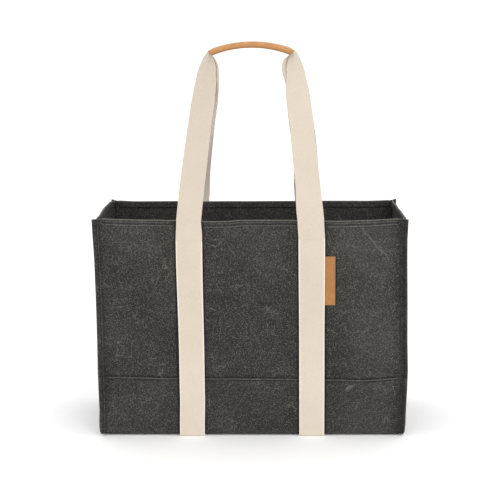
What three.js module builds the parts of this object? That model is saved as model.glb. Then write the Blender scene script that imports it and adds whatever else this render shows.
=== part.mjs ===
// A market tote: a boxy canvas bag with outward corner seams, two webbing straps that run round the bag
// and stand up as handles, a leather grip that joins the handles, and a plain leather tab.
// Units are millimetres, +Z is up, the front faces -Y, and the origin is the middle of the footprint.
import * as THREE from "three";
import { mergeGeometries, mergeVertices } from "three/addons/utils/BufferGeometryUtils.js";

const { lerp, smoothstep, degToRad } = THREE.MathUtils;

// Driving dimensions: the bag
const WIDTH = 436; // between the two side walls
const DEPTH = 180; // between the front and back walls
const HEIGHT = 323; // rim above the floor, between the corners
const CANVAS = 1.5; // thickness of the canvas
const GAP = 0.3; // left between pieces that touch
const SEAM_REACH = 5.2; // how far a corner seam stands out along each axis
const CORNER_RISE = 2; // how far the rims rise to the corner seams
const WALL_BOW = 4; // how far the front and back walls belly out
const WALL_BOW_SHARE = 0.72; // share of a half wave that the belly follows from floor to rim
const SIDE_FLARE = 3.5; // how far the side rims belly out
const SIDE_DISH = 3; // how far the side walls draw in at mid height
const SIDE_SAG = 0.5; // dip of the side rims between the corners
const HEM_DEPTH = 10; // height of the turned hem
const HEM_FOLD = 0.5; // height over which the hem's step is made
const HEM_INSET = 5; // distance from a corner seam at which the hem reaches its full thickness
const LAP_TOP = 88; // upper edge of the base panel's bands
const LAP_FOOT = 79; // lower edge of the walls, tucked behind the bands
const LAP_RAMP = 12; // height over which a band steps out over the wall, and a strap steps back

// Driving dimensions: straps, grip and tab
const STRAP_WIDTH = 38;
const STRAP_THICKNESS = 2;
const STRAP_X = 88; // strap's middle line, from the middle of the bag
const STRAP_DRAW = 1.4; // how far the straps draw inwards at the rim
const DRAW_START = 293; // height from which they do so
const ARCH_HALF_SPAN = 62.2; // from the middle of the strap pair's arch to the bend at its end, level
const ARCH_RADIUS = 177.6;
const ARCH_CROWN = 568.4; // height of the strap pair in the middle of the arch
const ARCH_TWIST = 2; // degrees that the pair's front edge droops by at the ends of the arch
const GRIP_SETBACK = 4.2; // the grip's middle ends this far short of the bend
const GRIP_SKEW = 3.3; // the grip's front edge is longer than its middle by this, at each end
const GRIP_LIP = 2.3; // the grip's top is longer than its middle by this, at each end
const LEATHER = 1.2; // thickness of the grip's leather
const GRIP_ROUND = 3; // corner radius of the grip's section
const SHOULDER_RADIUS = 2.6; // bend of the straps just outside the grip
const PAIR_SPREAD = 1.0; // how much further each strap stands from the pair's middle below the bend
const SPREAD_DROP = 3.5; // drop over which it does so
const TWIST = { quick: 0.2, first: 12, later: 68 }; // a share is undone early, the rest more slowly
const TWIST_END = { start: 110, end: 225 }; // between these drops the last of the twist goes
const REAR_SHIFT = { across: 5, start: 2, full: 16, ease: 25, end: 95 }; // the back strap stands inwards
const REAR_BOW = 2.2; // how much further the back strap's legs bow outwards
const TAB = { reach: 15, tuck: 6, bottom: 198, top: 270, thickness: 1.4 };

// Sizes that follow from those
const SEAM_OFFSET = (CANVAS + GAP) / 2; // each seam layer's distance from the seam's middle
const LAP_STEP = CANVAS + GAP; // how far a band lies outside the wall
const STRAP_LAYER = CANVAS / 2 + GAP + STRAP_THICKNESS / 2; // strap's middle from the canvas's middle
const PAIR_OFFSET = (STRAP_THICKNESS + GAP) / 2; // each strap from the middle of the pair
const BASE_Z = STRAP_THICKNESS + GAP + CANVAS / 2; // middle of the bottom cloth
const SIDE_FOOT_Z = BASE_Z + CANVAS + GAP; // middle of the side walls' bottom seam
const FRONT = -1;
const BACK = 1;
const LEFT = -1;
const RIGHT = 1;
const TO_FRONT = new THREE.Vector3(0, -1, 0);
const point = (x, y, z) => new THREE.Vector3(x, y, z);

// An open surface from rows of points; its outer side sees the columns run right and the rows run up.
// Each quad is split along the diagonal that lies further up and to the front, so that two layers
// with the same twist are split the same way and keep their gap.
function gridSurface(rows) {
  const columns = rows[0].length;
  const index = [];
  const rise = (p) => p.z - p.y;
  for (let i = 0; i + 1 < rows.length; i++) {
    for (let j = 0; j + 1 < columns; j++) {
      const a = i * columns + j;
      const d = a + columns;
      const oneWay = rise(rows[i][j]) + rise(rows[i + 1][j + 1]);
      const otherWay = rise(rows[i][j + 1]) + rise(rows[i + 1][j]);
      if (oneWay >= otherWay) {
        index.push(a, a + 1, d + 1, a, d + 1, d);
      } else {
        index.push(a, a + 1, d, a + 1, d + 1, d);
      }
    }
  }
  const surface = new THREE.BufferGeometry().setFromPoints(rows.flat());
  surface.setIndex(index);
  return surface;
}

function join(surfaces) {
  return mergeVertices(mergeGeometries(surfaces), 1e-3);
}

// Turns a mesh's triangles round
function flipped(surface) {
  const index = Array.from(surface.index.array);
  for (let k = 0; k < index.length; k += 3) {
    [index[k], index[k + 1]] = [index[k + 1], index[k]];
  }
  surface.setIndex(index);
  return surface;
}

function corners(surface) {
  const position = surface.getAttribute("position");
  const corner = (_, k) => new THREE.Vector3().fromBufferAttribute(position, k);
  return Array.from({ length: position.count }, corner);
}

// For each corner, the offset that moves every face around it by one unit along its normal, as nearly
// as the faces allow
const MITER_STEADY = 0.02; // keeps the offset close to the mean normal where the faces hardly differ
function miterOffsets(surface, points) {
  const index = surface.index.array;
  const sums = points.map(() => []);
  for (let k = 0; k < index.length; k += 3) {
    const triangle = [index[k], index[k + 1], index[k + 2]];
    const normal = new THREE.Triangle(...triangle.map((v) => points[v])).getNormal(new THREE.Vector3());
    triangle.forEach((v, turn) => {
      const ahead = points[triangle[(turn + 1) % 3]].clone().sub(points[v]);
      const behind = points[triangle[(turn + 2) % 3]].clone().sub(points[v]);
      sums[v].push({ normal, share: ahead.angleTo(behind) });
    });
  }
  return sums.map((faces) => {
    const total = faces.reduce((sum, face) => sum + face.share, 0);
    const mean = new THREE.Vector3();
    faces.forEach((face) => mean.addScaledVector(face.normal, face.share));
    const steady = MITER_STEADY * total;
    const goal = mean.clone().addScaledVector(mean.clone().normalize(), steady);
    const spread = new THREE.Matrix3().multiplyScalar(steady);
    faces.forEach(({ normal, share }) => {
      const n = normal.toArray();
      n.forEach((a, row) => n.forEach((b, column) => (spread.elements[3 * column + row] += share * a * b)));
    });
    return goal.applyMatrix3(spread.invert());
  });
}

// A closed wall from an open surface: outside and inside give the distance to each face at a point
function thicken(surface, outside, inside) {
  const points = corners(surface);
  const offsets = miterOffsets(surface, points);
  const outer = points.map((p, k) => p.clone().addScaledVector(offsets[k], outside(p)));
  const inner = points.map((p, k) => p.clone().addScaledVector(offsets[k], -inside(p)));
  const old = Array.from(surface.index.array);
  const count = points.length;
  const index = [...old];
  const edges = new Set();
  for (let k = 0; k < old.length; k += 3) {
    const [a, b, c] = old.slice(k, k + 3);
    index.push(a + count, c + count, b + count);
    [[a, b], [b, c], [c, a]].forEach(([from, to]) => edges.add(`${from} ${to}`));
  }
  for (const edge of edges) {
    const [a, b] = edge.split(" ").map(Number);
    if (!edges.has(`${b} ${a}`)) {
      index.push(b, a, a + count, b, a + count, b + count);
    }
  }
  const solid = new THREE.BufferGeometry().setFromPoints([...outer, ...inner]);
  solid.setIndex(index);
  return solid;
}

const halfCanvas = () => CANVAS / 2;

// Where the walls lie: how far a point of the front or back wall stands out, and its rim's height
const wallBow = (x, z) =>
  WALL_BOW * Math.cos((Math.PI * x) / WIDTH) * Math.sin((WALL_BOW_SHARE * Math.PI * z) / HEIGHT);
const RISE_POWER = 6; // a high power keeps the rise close to the corners
const rimAt = (x) => HEIGHT + CORNER_RISE * Math.min(Math.abs(x) / (WIDTH / 2), 1) ** RISE_POWER;
const wallPoint = (face, x, z, layer) => point(x, face * (DEPTH / 2 + wallBow(x, z) + layer), z);

// One level row across the front or back, from seam end to seam end; layer is the distance outside the wall
const ACROSS_STEPS = 12;
function wallRow(face, heightAt, layer) {
  const crease = WIDTH / 2 - SEAM_OFFSET * Math.SQRT2 - layer * Math.tan(Math.PI / 8);
  const hem = crease - HEM_INSET;
  const xs = Array.from({ length: ACROSS_STEPS + 1 }, (_, k) => lerp(-hem, hem, k / ACROSS_STEPS));
  const seamEnd = (side) => {
    const x = side * (WIDTH / 2 + SEAM_REACH - (SEAM_OFFSET + layer) / Math.SQRT2);
    const y = face * (DEPTH / 2 + SEAM_REACH + (SEAM_OFFSET + layer) / Math.SQRT2);
    return point(x, y, heightAt(x));
  };
  const middle = [-crease, ...xs, crease].map((x) => {
    const flat = Math.abs(x) === crease;
    return flat ? point(x, face * (DEPTH / 2 + layer), heightAt(x)) : wallPoint(face, x, heightAt(x), layer);
  });
  return [seamEnd(LEFT), ...middle, seamEnd(RIGHT)];
}

// How thick the inside of a wall is: the hem doubles it near the rim, away from the corner seams
function hemThickness(distanceToSeam, belowRim) {
  const turned = belowRim < HEM_DEPTH && distanceToSeam >= HEM_INSET - 1;
  return CANVAS / 2 + (turned ? CANVAS : 0);
}

// The front or back wall, from behind the base panel's band up to the hem
const WALL_ROWS = [0, 0.15, 0.3, 0.45, 0.6, 0.75, 0.88];
function wallPanel(face) {
  const toRim = (share) => (x) => lerp(LAP_FOOT, rimAt(x), share);
  const underRim = (drop) => (x) => rimAt(x) - drop;
  const rows = WALL_ROWS.map((share) => wallRow(face, toRim(share), 0));
  rows.push(wallRow(face, underRim(HEM_DEPTH + HEM_FOLD), 0));
  rows.push(wallRow(face, underRim(HEM_DEPTH - HEM_FOLD), 0));
  rows.push(wallRow(face, underRim(0), 0));
  const surface = gridSurface(face === FRONT ? rows : rows.reverse());
  const inside = (p) => hemThickness(WIDTH / 2 - Math.abs(p.x), rimAt(p.x) - p.z);
  return thicken(surface, halfCanvas, inside);
}

// How far the lap stands out at a height: over the tucked wall, and back to nothing below and above it
function lapLayer(z) {
  const below = smoothstep(z, LAP_FOOT - 3 - LAP_RAMP, LAP_FOOT - 3);
  const above = smoothstep(z, LAP_TOP + 1, LAP_TOP + 1 + LAP_RAMP);
  return LAP_STEP * (below - above);
}
const LAP_ROWS = [LAP_FOOT - 3 - LAP_RAMP, LAP_FOOT - 3 - LAP_RAMP / 2, LAP_FOOT - 3, LAP_TOP];

// The base panel: back band downwards, bottom, front band upwards
function basePanel() {
  const heights = [BASE_Z, 30, ...LAP_ROWS];
  const band = (face) => heights.map((z) => wallRow(face, () => z, lapLayer(z)));
  const crease = WIDTH / 2 - SEAM_OFFSET * Math.SQRT2;
  const bottomRow = (y) => {
    const xs = Array.from({ length: ACROSS_STEPS + 1 }, (_, k) => k / ACROSS_STEPS);
    const hem = crease - HEM_INSET;
    const middle = [-crease, ...xs.map((share) => lerp(-hem, hem, share)), crease];
    const ends = WIDTH / 2 + SEAM_REACH;
    return [-ends, ...middle, ends].map((x) => point(x, y, BASE_Z));
  };
  const bottom = BOTTOM_SHARES.map((share) => bottomRow(-share * (DEPTH / 2 - SEAM_REACH)));
  return thicken(gridSurface([...band(BACK).reverse(), ...bottom, ...band(FRONT)]), halfCanvas, halfCanvas);
}
const BOTTOM_SHARES = [-1, -0.5, 0, 0.5, 1];

// A side wall, made for the right and mirrored for the left
const SIDE_ROWS = [0, 0.12, 0.25, 0.4, 0.55, 0.7, 0.85];
function sidePanel(side) {
  const crease = DEPTH / 2 - SEAM_OFFSET * Math.SQRT2;
  const ys = [-crease, ...BOTTOM_SHARES.map((share) => share * (DEPTH / 2 - SEAM_REACH)), crease];
  const rim = (y) => HEIGHT + CORNER_RISE - SIDE_SAG * Math.cos((Math.PI * y) / DEPTH);
  const sidePoint = (y, z) => {
    const round = Math.abs(y) === crease ? 0 : Math.cos((Math.PI * y) / DEPTH);
    const swell = SIDE_FLARE * (z / HEIGHT) ** 2 - SIDE_DISH * Math.sin((Math.PI * z) / HEIGHT);
    return point(WIDTH / 2 + round * swell, y, z);
  };
  const heights = SIDE_ROWS.map((share) => (y) => lerp(SIDE_FOOT_Z, rim(y), share));
  [HEM_DEPTH + HEM_FOLD, HEM_DEPTH - HEM_FOLD, 0].forEach((drop) => heights.push((y) => rim(y) - drop));
  const middle = gridSurface(heights.map((heightAt) => ys.map((y) => sidePoint(y, heightAt(y)))));

  // The outward seam: down the front edge, along the bottom and up the back edge
  const seamEnd = (face, z) => {
    const x = WIDTH / 2 + SEAM_REACH + SEAM_OFFSET / Math.SQRT2;
    const y = face * (DEPTH / 2 + SEAM_REACH - SEAM_OFFSET / Math.SQRT2);
    return point(x, y, z);
  };
  const upright = (face) => heights.map((heightAt) => {
    const z = heightAt(face * crease);
    return [sidePoint(face * crease, z), seamEnd(face, z)];
  });
  const along = ys.slice(1, -1).map((y) => {
    return [sidePoint(y, SIDE_FOOT_Z), point(WIDTH / 2 + SEAM_REACH, y, SIDE_FOOT_Z)];
  });
  const seam = gridSurface([...upright(FRONT).reverse(), ...along, ...upright(BACK)]);
  const surface = join([middle, seam]);
  const inside = (p) => hemThickness(DEPTH / 2 - Math.abs(p.y), rim(p.y) - p.z);
  const solid = thicken(surface, halfCanvas, inside);
  return side === RIGHT ? solid : flipped(solid.scale(-1, 1, 1));
}

// The height span of the tab, where the strap is lifted off the wall along its outer edge
const TAB_LIFT = GAP + TAB.thickness + 0.4;
function tabLift(face, side, z) {
  const beside = face === FRONT && side === RIGHT;
  const rise = smoothstep(z, TAB.bottom - 20, TAB.bottom - 2) - smoothstep(z, TAB.top + 2, TAB.top + 20);
  return beside ? TAB_LIFT * rise : 0;
}

// The strap on one face: under the bag, round the bottom edge and up to the rim.
// Each station has its point and the direction to the strap's inner edge.
const FACE_HEIGHTS = [8, 30, ...LAP_ROWS.slice(0, 3), LAP_TOP + 1, LAP_TOP + 7, LAP_TOP + 13, 120, 150];
const TAB_HEIGHTS = [178, 184, 190, 196, 216, 252, 272, 278, 284, 290, 306, HEIGHT];
const BEND_STEPS = 4;
function faceStations(face, side) {
  const inward = point(-side, 0, 0);
  const x = side * STRAP_X;
  const bendY = face * (DEPTH / 2 + CANVAS / 2);
  const bendZ = BASE_Z - CANVAS / 2;
  const bendRadius = GAP + STRAP_THICKNESS / 2;
  const stations = [0, 0.3, 0.6].map((share) => {
    const y = lerp((face * GAP) / 2, bendY, share);
    return { p: point(x, y, STRAP_THICKNESS / 2), w: inward };
  });
  for (let k = 0; k <= BEND_STEPS; k++) {
    const turn = (k / BEND_STEPS) * (Math.PI / 2);
    const y = bendY + face * bendRadius * Math.sin(turn);
    stations.push({ p: point(x, y, bendZ - bendRadius * Math.cos(turn)), w: inward });
  }
  for (const z of [...FACE_HEIGHTS, ...TAB_HEIGHTS]) {
    const layer = STRAP_LAYER + lapLayer(z);
    const lift = tabLift(face, side, z);
    const drawn = x - side * STRAP_DRAW * smoothstep(z, DRAW_START, HEIGHT);
    const p = wallPoint(face, drawn, z, layer + lift / 2);
    const inner = wallPoint(face, drawn - side, z, layer);
    const outer = wallPoint(face, drawn + side, z, layer);
    const w = inner.sub(outer).normalize();
    w.y -= (face * lift) / STRAP_WIDTH;
    stations.push({ p, w: w.normalize() });
  }
  return stations;
}

// The middle line of the two handles together, as one of the straps follows it, from just above the left
// rim to just above the right one. part is the share of the rim's distance by which the straps have come
// apart. In the upper half both straps take the same way; lower down the back strap's legs bow outwards.
const LEG_STEPS = 30;
const SHOULDER_STEPS = 6;
const ARCH_STEPS = 12;
const END_ANGLE = Math.asin(ARCH_HALF_SPAN / ARCH_RADIUS);
const GRIP_ANGLE = END_ANGLE - GRIP_SETBACK / ARCH_RADIUS;
const ARCH_CENTRE_Z = ARCH_CROWN - ARCH_RADIUS;
const END_Z = ARCH_CENTRE_Z + ARCH_RADIUS * Math.cos(END_ANGLE);
const SOFT_START = { from: 0.02, to: 0.13 }; // shares of the drop over which a leg turns outwards
const BOW_SPAN = { start: 0.3, full: 0.7, ease: 0.75 }; // shares of the drop over which a back leg bows
function legX(face, top, down) {
  const straight = lerp(top, STRAP_DRAW - STRAP_X, down * smoothstep(down, SOFT_START.from, SOFT_START.to));
  const bow = smoothstep(down, BOW_SPAN.start, BOW_SPAN.full) * (1 - smoothstep(down, BOW_SPAN.ease, 1));
  return face === FRONT ? straight : straight - REAR_BOW * bow;
}
function twistAt(z) {
  const drop = END_Z - z;
  const quick = TWIST.quick * Math.exp(-drop / TWIST.first);
  const left = quick + (1 - TWIST.quick) * Math.exp(-drop / TWIST.later);
  return 90 - (90 - ARCH_TWIST) * left * (1 - smoothstep(drop, TWIST_END.start, TWIST_END.end));
}
function handleLine(face) {
  const shoulderX = -ARCH_HALF_SPAN + SHOULDER_RADIUS * Math.sin(END_ANGLE);
  const shoulder = point(shoulderX, 0, END_Z - SHOULDER_RADIUS * Math.cos(END_ANGLE));
  const half = [];
  for (let k = 1; k < LEG_STEPS; k++) {
    const down = (1 - k / LEG_STEPS) ** 1.5;
    const z = lerp(shoulder.z, HEIGHT, down);
    const x = legX(face, shoulder.x - SHOULDER_RADIUS, down);
    half.push({ p: point(x, 0, z), twist: twistAt(z), part: smoothstep(down, 0, 1) });
  }
  for (let k = 0; k < SHOULDER_STEPS; k++) {
    const turn = lerp(Math.PI / 2, END_ANGLE, k / SHOULDER_STEPS);
    const offset = point(-Math.sin(turn), 0, Math.cos(turn)).multiplyScalar(SHOULDER_RADIUS);
    const p = shoulder.clone().add(offset);
    half.push({ p, twist: twistAt(p.z), part: 0 });
  }
  half.push({ ...archStation(-END_ANGLE), part: 0 });
  for (let k = 0; k <= ARCH_STEPS; k++) {
    half.push({ ...archStation(-GRIP_ANGLE * (1 - k / ARCH_STEPS)), part: 0 });
  }
  const mirrored = half.slice(0, -1).reverse().map((s) => ({ ...s, p: point(-s.p.x, 0, s.p.z) }));
  return [...half, ...mirrored];
}

function archStation(turn) {
  const p = point(ARCH_RADIUS * Math.sin(turn), 0, ARCH_CENTRE_Z + ARCH_RADIUS * Math.cos(turn));
  return { p, twist: ARCH_TWIST * (turn / END_ANGLE) ** 2 };
}

// Direction along a line of stations, at station k
function heading(stations, k) {
  const before = stations[Math.max(k - 1, 0)].p;
  const after = stations[Math.min(k + 1, stations.length - 1)].p;
  return after.clone().sub(before).normalize();
}

// Direction to the inner edge of a strap that heads along a line with a twist
function twistedWidth(along, twist) {
  const across = along.clone().cross(TO_FRONT);
  const angle = degToRad(twist);
  const toFront = TO_FRONT.clone().multiplyScalar(Math.cos(angle));
  return toFront.addScaledVector(across, Math.sin(angle)).normalize();
}

// The part of one strap above the rim: the straps lie together in the arch, and below the bend the back
// strap stands a little further inwards, along its own width
function handleStations(face) {
  const line = handleLine(face);
  const reach = DEPTH / 2 + wallBow(STRAP_X, HEIGHT) + STRAP_LAYER - PAIR_OFFSET - PAIR_SPREAD;
  return line.map((station, k) => {
    const pairAlong = heading(line, k);
    const w = twistedWidth(pairAlong, station.twist);
    const toFrontStrap = w.clone().cross(pairAlong);
    const spread = PAIR_SPREAD * smoothstep(END_Z - station.p.z, 0, SPREAD_DROP);
    const p = station.p.clone().addScaledVector(toFrontStrap, -face * (PAIR_OFFSET + spread));
    if (face === BACK) {
      const drop = END_Z - station.p.z;
      const begun = smoothstep(drop, REAR_SHIFT.start, REAR_SHIFT.full);
      const ended = smoothstep(drop, REAR_SHIFT.ease, REAR_SHIFT.end);
      p.addScaledVector(w, REAR_SHIFT.across * begun * (1 - ended));
    }
    p.y += face * station.part * reach;
    const before = line[Math.max(k - 1, 0)];
    const after = line[Math.min(k + 1, line.length - 1)];
    const along = after.p.clone().sub(before.p);
    along.y += face * (after.part - before.part) * reach;
    return { p, w, along: along.normalize() };
  });
}

// A flat band with square edges along a line of stations
function band(stations, width, thickness) {
  const rings = stations.map((station, k) => {
    const along = station.along ?? heading(stations, k);
    const w = station.w.clone().addScaledVector(along, -station.w.dot(along)).normalize();
    const n = w.clone().cross(along);
    return [[1, 1], [1, -1], [-1, -1], [-1, 1]].map(([across, out]) => {
      const edge = station.p.clone().addScaledVector(w, (across * width) / 2);
      return edge.addScaledVector(n, (out * thickness) / 2);
    });
  });
  const skin = gridSurface(rings.map((ring) => [...ring, ring[0]]));
  const first = rings[0];
  const last = rings[rings.length - 1];
  const startCap = gridSurface([[first[3], first[2]], [first[0], first[1]]]);
  const endCap = gridSurface([[last[0], last[1]], [last[3], last[2]]]);
  return join([skin, startCap, endCap]);
}

function strap(face) {
  const stations = [
    ...faceStations(face, LEFT),
    ...handleStations(face),
    ...faceStations(face, RIGHT).reverse(),
  ];
  return band(stations, STRAP_WIDTH, STRAP_THICKNESS);
}

// A point in or around the arch: across and up are measured from the middle of the strap pair
function archPoint(turn, across, up) {
  const station = archStation(turn);
  const along = point(Math.cos(turn), 0, -Math.sin(turn));
  const w = twistedWidth(along, station.twist);
  const n = w.clone().cross(along);
  return station.p.addScaledVector(w, across).addScaledVector(n, up);
}

// A ring with rounded corners around the arch, longer at the front and at the top
const CORNER_STEPS = 3;
function gripRing(share, halfWidth, halfHeight, radius) {
  const ring = [];
  for (let corner = 3; corner >= 0; corner--) {
    const signW = corner === 0 || corner === 3 ? 1 : -1;
    const signN = corner < 2 ? 1 : -1;
    for (let k = CORNER_STEPS; k >= 0; k--) {
      const turn = (corner + k / CORNER_STEPS) * (Math.PI / 2);
      const across = signW * (halfWidth - radius) + radius * Math.cos(turn);
      const up = signN * (halfHeight - radius) + radius * Math.sin(turn);
      const longer = (GRIP_SKEW * across) / halfWidth + (GRIP_LIP * up) / halfHeight;
      ring.push(archPoint(share * (GRIP_ANGLE + longer / ARCH_RADIUS), across, up));
    }
  }
  return [...ring, ring[0]];
}

// The leather sleeve around both straps
function gripSleeve() {
  const innerHalfWidth = STRAP_WIDTH / 2 + 1.5 * GAP;
  const innerHalfHeight = PAIR_OFFSET + STRAP_THICKNESS / 2 + 1.5 * GAP;
  const outerRings = [];
  const innerRings = [];
  for (let k = -ARCH_STEPS; k <= ARCH_STEPS; k++) {
    const share = k / ARCH_STEPS;
    outerRings.push(gripRing(share, innerHalfWidth + LEATHER, innerHalfHeight + LEATHER, GRIP_ROUND));
    innerRings.push(gripRing(share, innerHalfWidth, innerHalfHeight, GAP));
  }
  const last = outerRings.length - 1;
  return join([
    gridSurface(outerRings),
    gridSurface([...innerRings].reverse()),
    gridSurface([innerRings[0], outerRings[0]]),
    gridSurface([outerRings[last], innerRings[last]]),
  ]);
}

// The leather tab, lying on the front wall with its inner edge under the strap
function leatherTab() {
  const start = STRAP_X + STRAP_WIDTH / 2 - TAB.tuck;
  const xs = [0, 0.3, 0.65, 1].map((share) => lerp(start, start + TAB.tuck + TAB.reach, share));
  const zs = [0, 0.25, 0.5, 0.75, 1].map((share) => lerp(TAB.bottom, TAB.top, share));
  const layer = CANVAS / 2 + GAP + TAB.thickness / 2;
  const surface = gridSurface(zs.map((z) => xs.map((x) => wallPoint(FRONT, x, z, layer))));
  const half = () => TAB.thickness / 2;
  return thicken(surface, half, half);
}

// Colours as they show in daylight
const canvasLook = () => new THREE.MeshStandardMaterial({ color: 0x474542, roughness: 0.85, metalness: 0 });
const webbingLook = () => new THREE.MeshStandardMaterial({ color: 0xe5d9ca, roughness: 0.9, metalness: 0 });
const gripLook = () => new THREE.MeshStandardMaterial({ color: 0xcd9a66, roughness: 0.55, metalness: 0 });
const tabLook = () => new THREE.MeshStandardMaterial({ color: 0xbb8651, roughness: 0.55, metalness: 0 });

const tote = new THREE.Group();
function add(name, geometry, material) {
  const mesh = new THREE.Mesh(geometry, material);
  mesh.name = name;
  tote.add(mesh);
}
add("front_panel", wallPanel(FRONT), canvasLook());
add("back_panel", wallPanel(BACK), canvasLook());
add("left_gusset", sidePanel(LEFT), canvasLook());
add("right_gusset", sidePanel(RIGHT), canvasLook());
add("base_panel", basePanel(), canvasLook());
add("front_strap", strap(FRONT), webbingLook());
add("back_strap", strap(BACK), webbingLook());
add("grip", gripSleeve(), gripLook());
add("tab", leatherTab(), tabLook());

export default tote;
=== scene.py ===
# A market tote: canvas body, webbing straps, leather grip and leather tab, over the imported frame
import math

import bpy
import numpy as np
from mathutils import Matrix, noise


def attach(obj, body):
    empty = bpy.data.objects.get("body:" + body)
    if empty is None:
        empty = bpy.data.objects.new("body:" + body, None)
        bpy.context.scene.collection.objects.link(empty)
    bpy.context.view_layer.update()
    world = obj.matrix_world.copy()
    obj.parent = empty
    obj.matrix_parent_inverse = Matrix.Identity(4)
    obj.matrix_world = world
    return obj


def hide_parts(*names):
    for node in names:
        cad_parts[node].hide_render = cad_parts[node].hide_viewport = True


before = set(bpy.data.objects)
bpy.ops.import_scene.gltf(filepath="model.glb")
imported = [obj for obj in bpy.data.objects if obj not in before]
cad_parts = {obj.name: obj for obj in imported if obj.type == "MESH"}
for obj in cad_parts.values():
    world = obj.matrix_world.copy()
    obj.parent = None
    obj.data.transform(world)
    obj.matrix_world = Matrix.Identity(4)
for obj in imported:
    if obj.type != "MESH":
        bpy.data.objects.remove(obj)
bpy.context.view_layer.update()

# Sizes shared with the CAD model, in millimetres
MM = 0.001
WIDTH = 436.0
DEPTH = 180.0
HEIGHT = 323.0
CANVAS = 1.5
GAP = 0.3
SEAM_REACH = 5.2
WALL_BOW = 4.0
WALL_BOW_SHARE = 0.72
SIDE_DISH = 3.0
HEM_DEPTH = 10.0
LAP_TOP = 88.0
LAP_FOOT = 79.0
LAP_RAMP = 12.0
STRAP_WIDTH = 38.0
STRAP_THICKNESS = 2.0
STRAP_X = 88.0
STRAP_DRAW = 1.4
DRAW_START = 293.0
ARCH_CROWN = 568.4
ARCH_TWIST = 2.0
GRIP_SETBACK = 4.2
GRIP_SKEW = 3.3
GRIP_LIP = 2.3
LEATHER = 1.2
GRIP_ROUND = 3.0
SHOULDER_RADIUS = 2.6
SPREAD_DROP = 3.5
TWIST_END = (110.0, 225.0)
REAR_BOW = 2.2
TAB_REACH = 15.0
TAB_TUCK = 6.0
TAB_BOTTOM = 198.0
TAB_TOP = 270.0
TAB_THICKNESS = 1.4
SEAM_OFFSET = (CANVAS + GAP) / 2
LAP_STEP = CANVAS + GAP
STRAP_LAYER = CANVAS / 2 + GAP + STRAP_THICKNESS / 2
PAIR_OFFSET = (STRAP_THICKNESS + GAP) / 2
BASE_Z = STRAP_THICKNESS + GAP + CANVAS / 2
SIDE_FOOT_Z = BASE_Z + CANVAS + GAP
FRONT = -1
BACK = 1
LEFT = -1
RIGHT = 1
FACES = (("front", FRONT), ("back", BACK))

# Sizes of the straps and the grip that follow the photo more closely than the CAD model does
STRAP_RAMP = 45.0  # height over which a strap steps out to the lap and back
ARCH_HALF_SPAN = 60.8
ARCH_RADIUS = 166.0
ARCH_LEAN = 1.4  # how far the arch stands to the right
LEAN_END = 70.0  # drop below the bend at the grip where the legs stand straight again
GRIP_PUFF = 0.5  # extra thickness of the grip, above and below
PAIR_SPREAD = 0.1
TWIST_QUICK = 0.23  # share of the twist that goes early
TWIST_FIRST = 6.0
TWIST_LATER = 75.0
PART_START = 0.13  # share of a leg below which the two straps part
REAR_LEAN = -2.0  # how far the back strap stands to the left at the rim
ANCHOR_Z = 293.0  # height of the row that ends the sewn part of a strap
ANCHOR_RISE = 3.0  # how much higher that row is on the right front strap
SEWN_SLIM = 0.035  # share by which the sewn front straps are drawn in, low on the wall

# How far parts of the straps stand aside: size, then where that starts, is full, eases off and ends
LEFT_DRIFT = (1.2, 10.0, 60.0, 120.0, 270.0)  # the left front strap inwards, by height
LEG_NARROW = {  # the inner edges of the front handle back, by height
    LEFT: (2.5, 300.0, 322.0, 450.0, 490.0),
    RIGHT: (2.5, 335.0, 375.0, 450.0, 490.0),
}
LEG_SPREAD = (2.4, 4.0, 16.0, 34.0, 70.0)  # the left one of these edges out, by the drop below the bend
RIGHT_PULL = (1.0, 1.0, 8.0, 20.0, 60.0)  # the right legs inwards, by drop
REAR_TUCK = (1.2, 15.0, 60.0, 165.0, 215.0)  # the back strap's right leg behind the front one, by drop
REAR_INWARDS = {  # the back strap along its own width, by drop
    LEFT: (6.0, 4.0, 18.0, 26.0, 110.0),
    RIGHT: (8.5, 1.0, 10.0, 14.0, 50.0),
}
REAR_ARC = (REAR_BOW, 0.3, 0.7, 0.75, 1.0)  # the back strap's legs outwards, by share of their drop
REAR_SWAY = [(0.5, 60.0, 40.0)]  # the back strap to the right, as a bump by drop: size, middle and reach

# Sizes of the sewn detail, in millimetres
FILLET = 1.8  # how far the rounding of a crease reaches to each side
FIN_LENGTH = (SEAM_REACH + SEAM_OFFSET / math.sqrt(2)) * math.sqrt(2)
STRAP_CALM = 21.0  # half width of the strip beside a strap's middle that has no waves across it
CALM_END = 62.0  # from a strap's middle, where the waves near the rim are full again
HEM_STITCH = 5.9  # below the rim
LAP_STITCH = 3.0  # below the upper edge of a base band
FIN_STITCH = 3.4  # from a seam's crease
STRAP_STITCH = 16.2  # from a strap's middle
PITCH = 4.2  # from one stitch to the next
ROW_PITCH = 3.6  # the same in the row across a strap
STITCH_OUT = CANVAS / 2 - 0.3  # from the middle of the canvas to a stitch on its outer face
STITCH_IN = -CANVAS / 2 - CANVAS - 0.05  # to a stitch on the inner face of a hem
HEM_EDGE = 3.0  # a hem's fold reaches this far below the rim
WELD = 0.004  # points closer than this are one

# Waves of the canvas: depth, size and seed
WALL_WAVES = [(1.1, 90.0, 2.3), (0.3, 33.0, 5.7)]
SIDE_WAVES = [(1.3, 80.0, 0.0), (0.35, 30.0, 3.0)]

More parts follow.
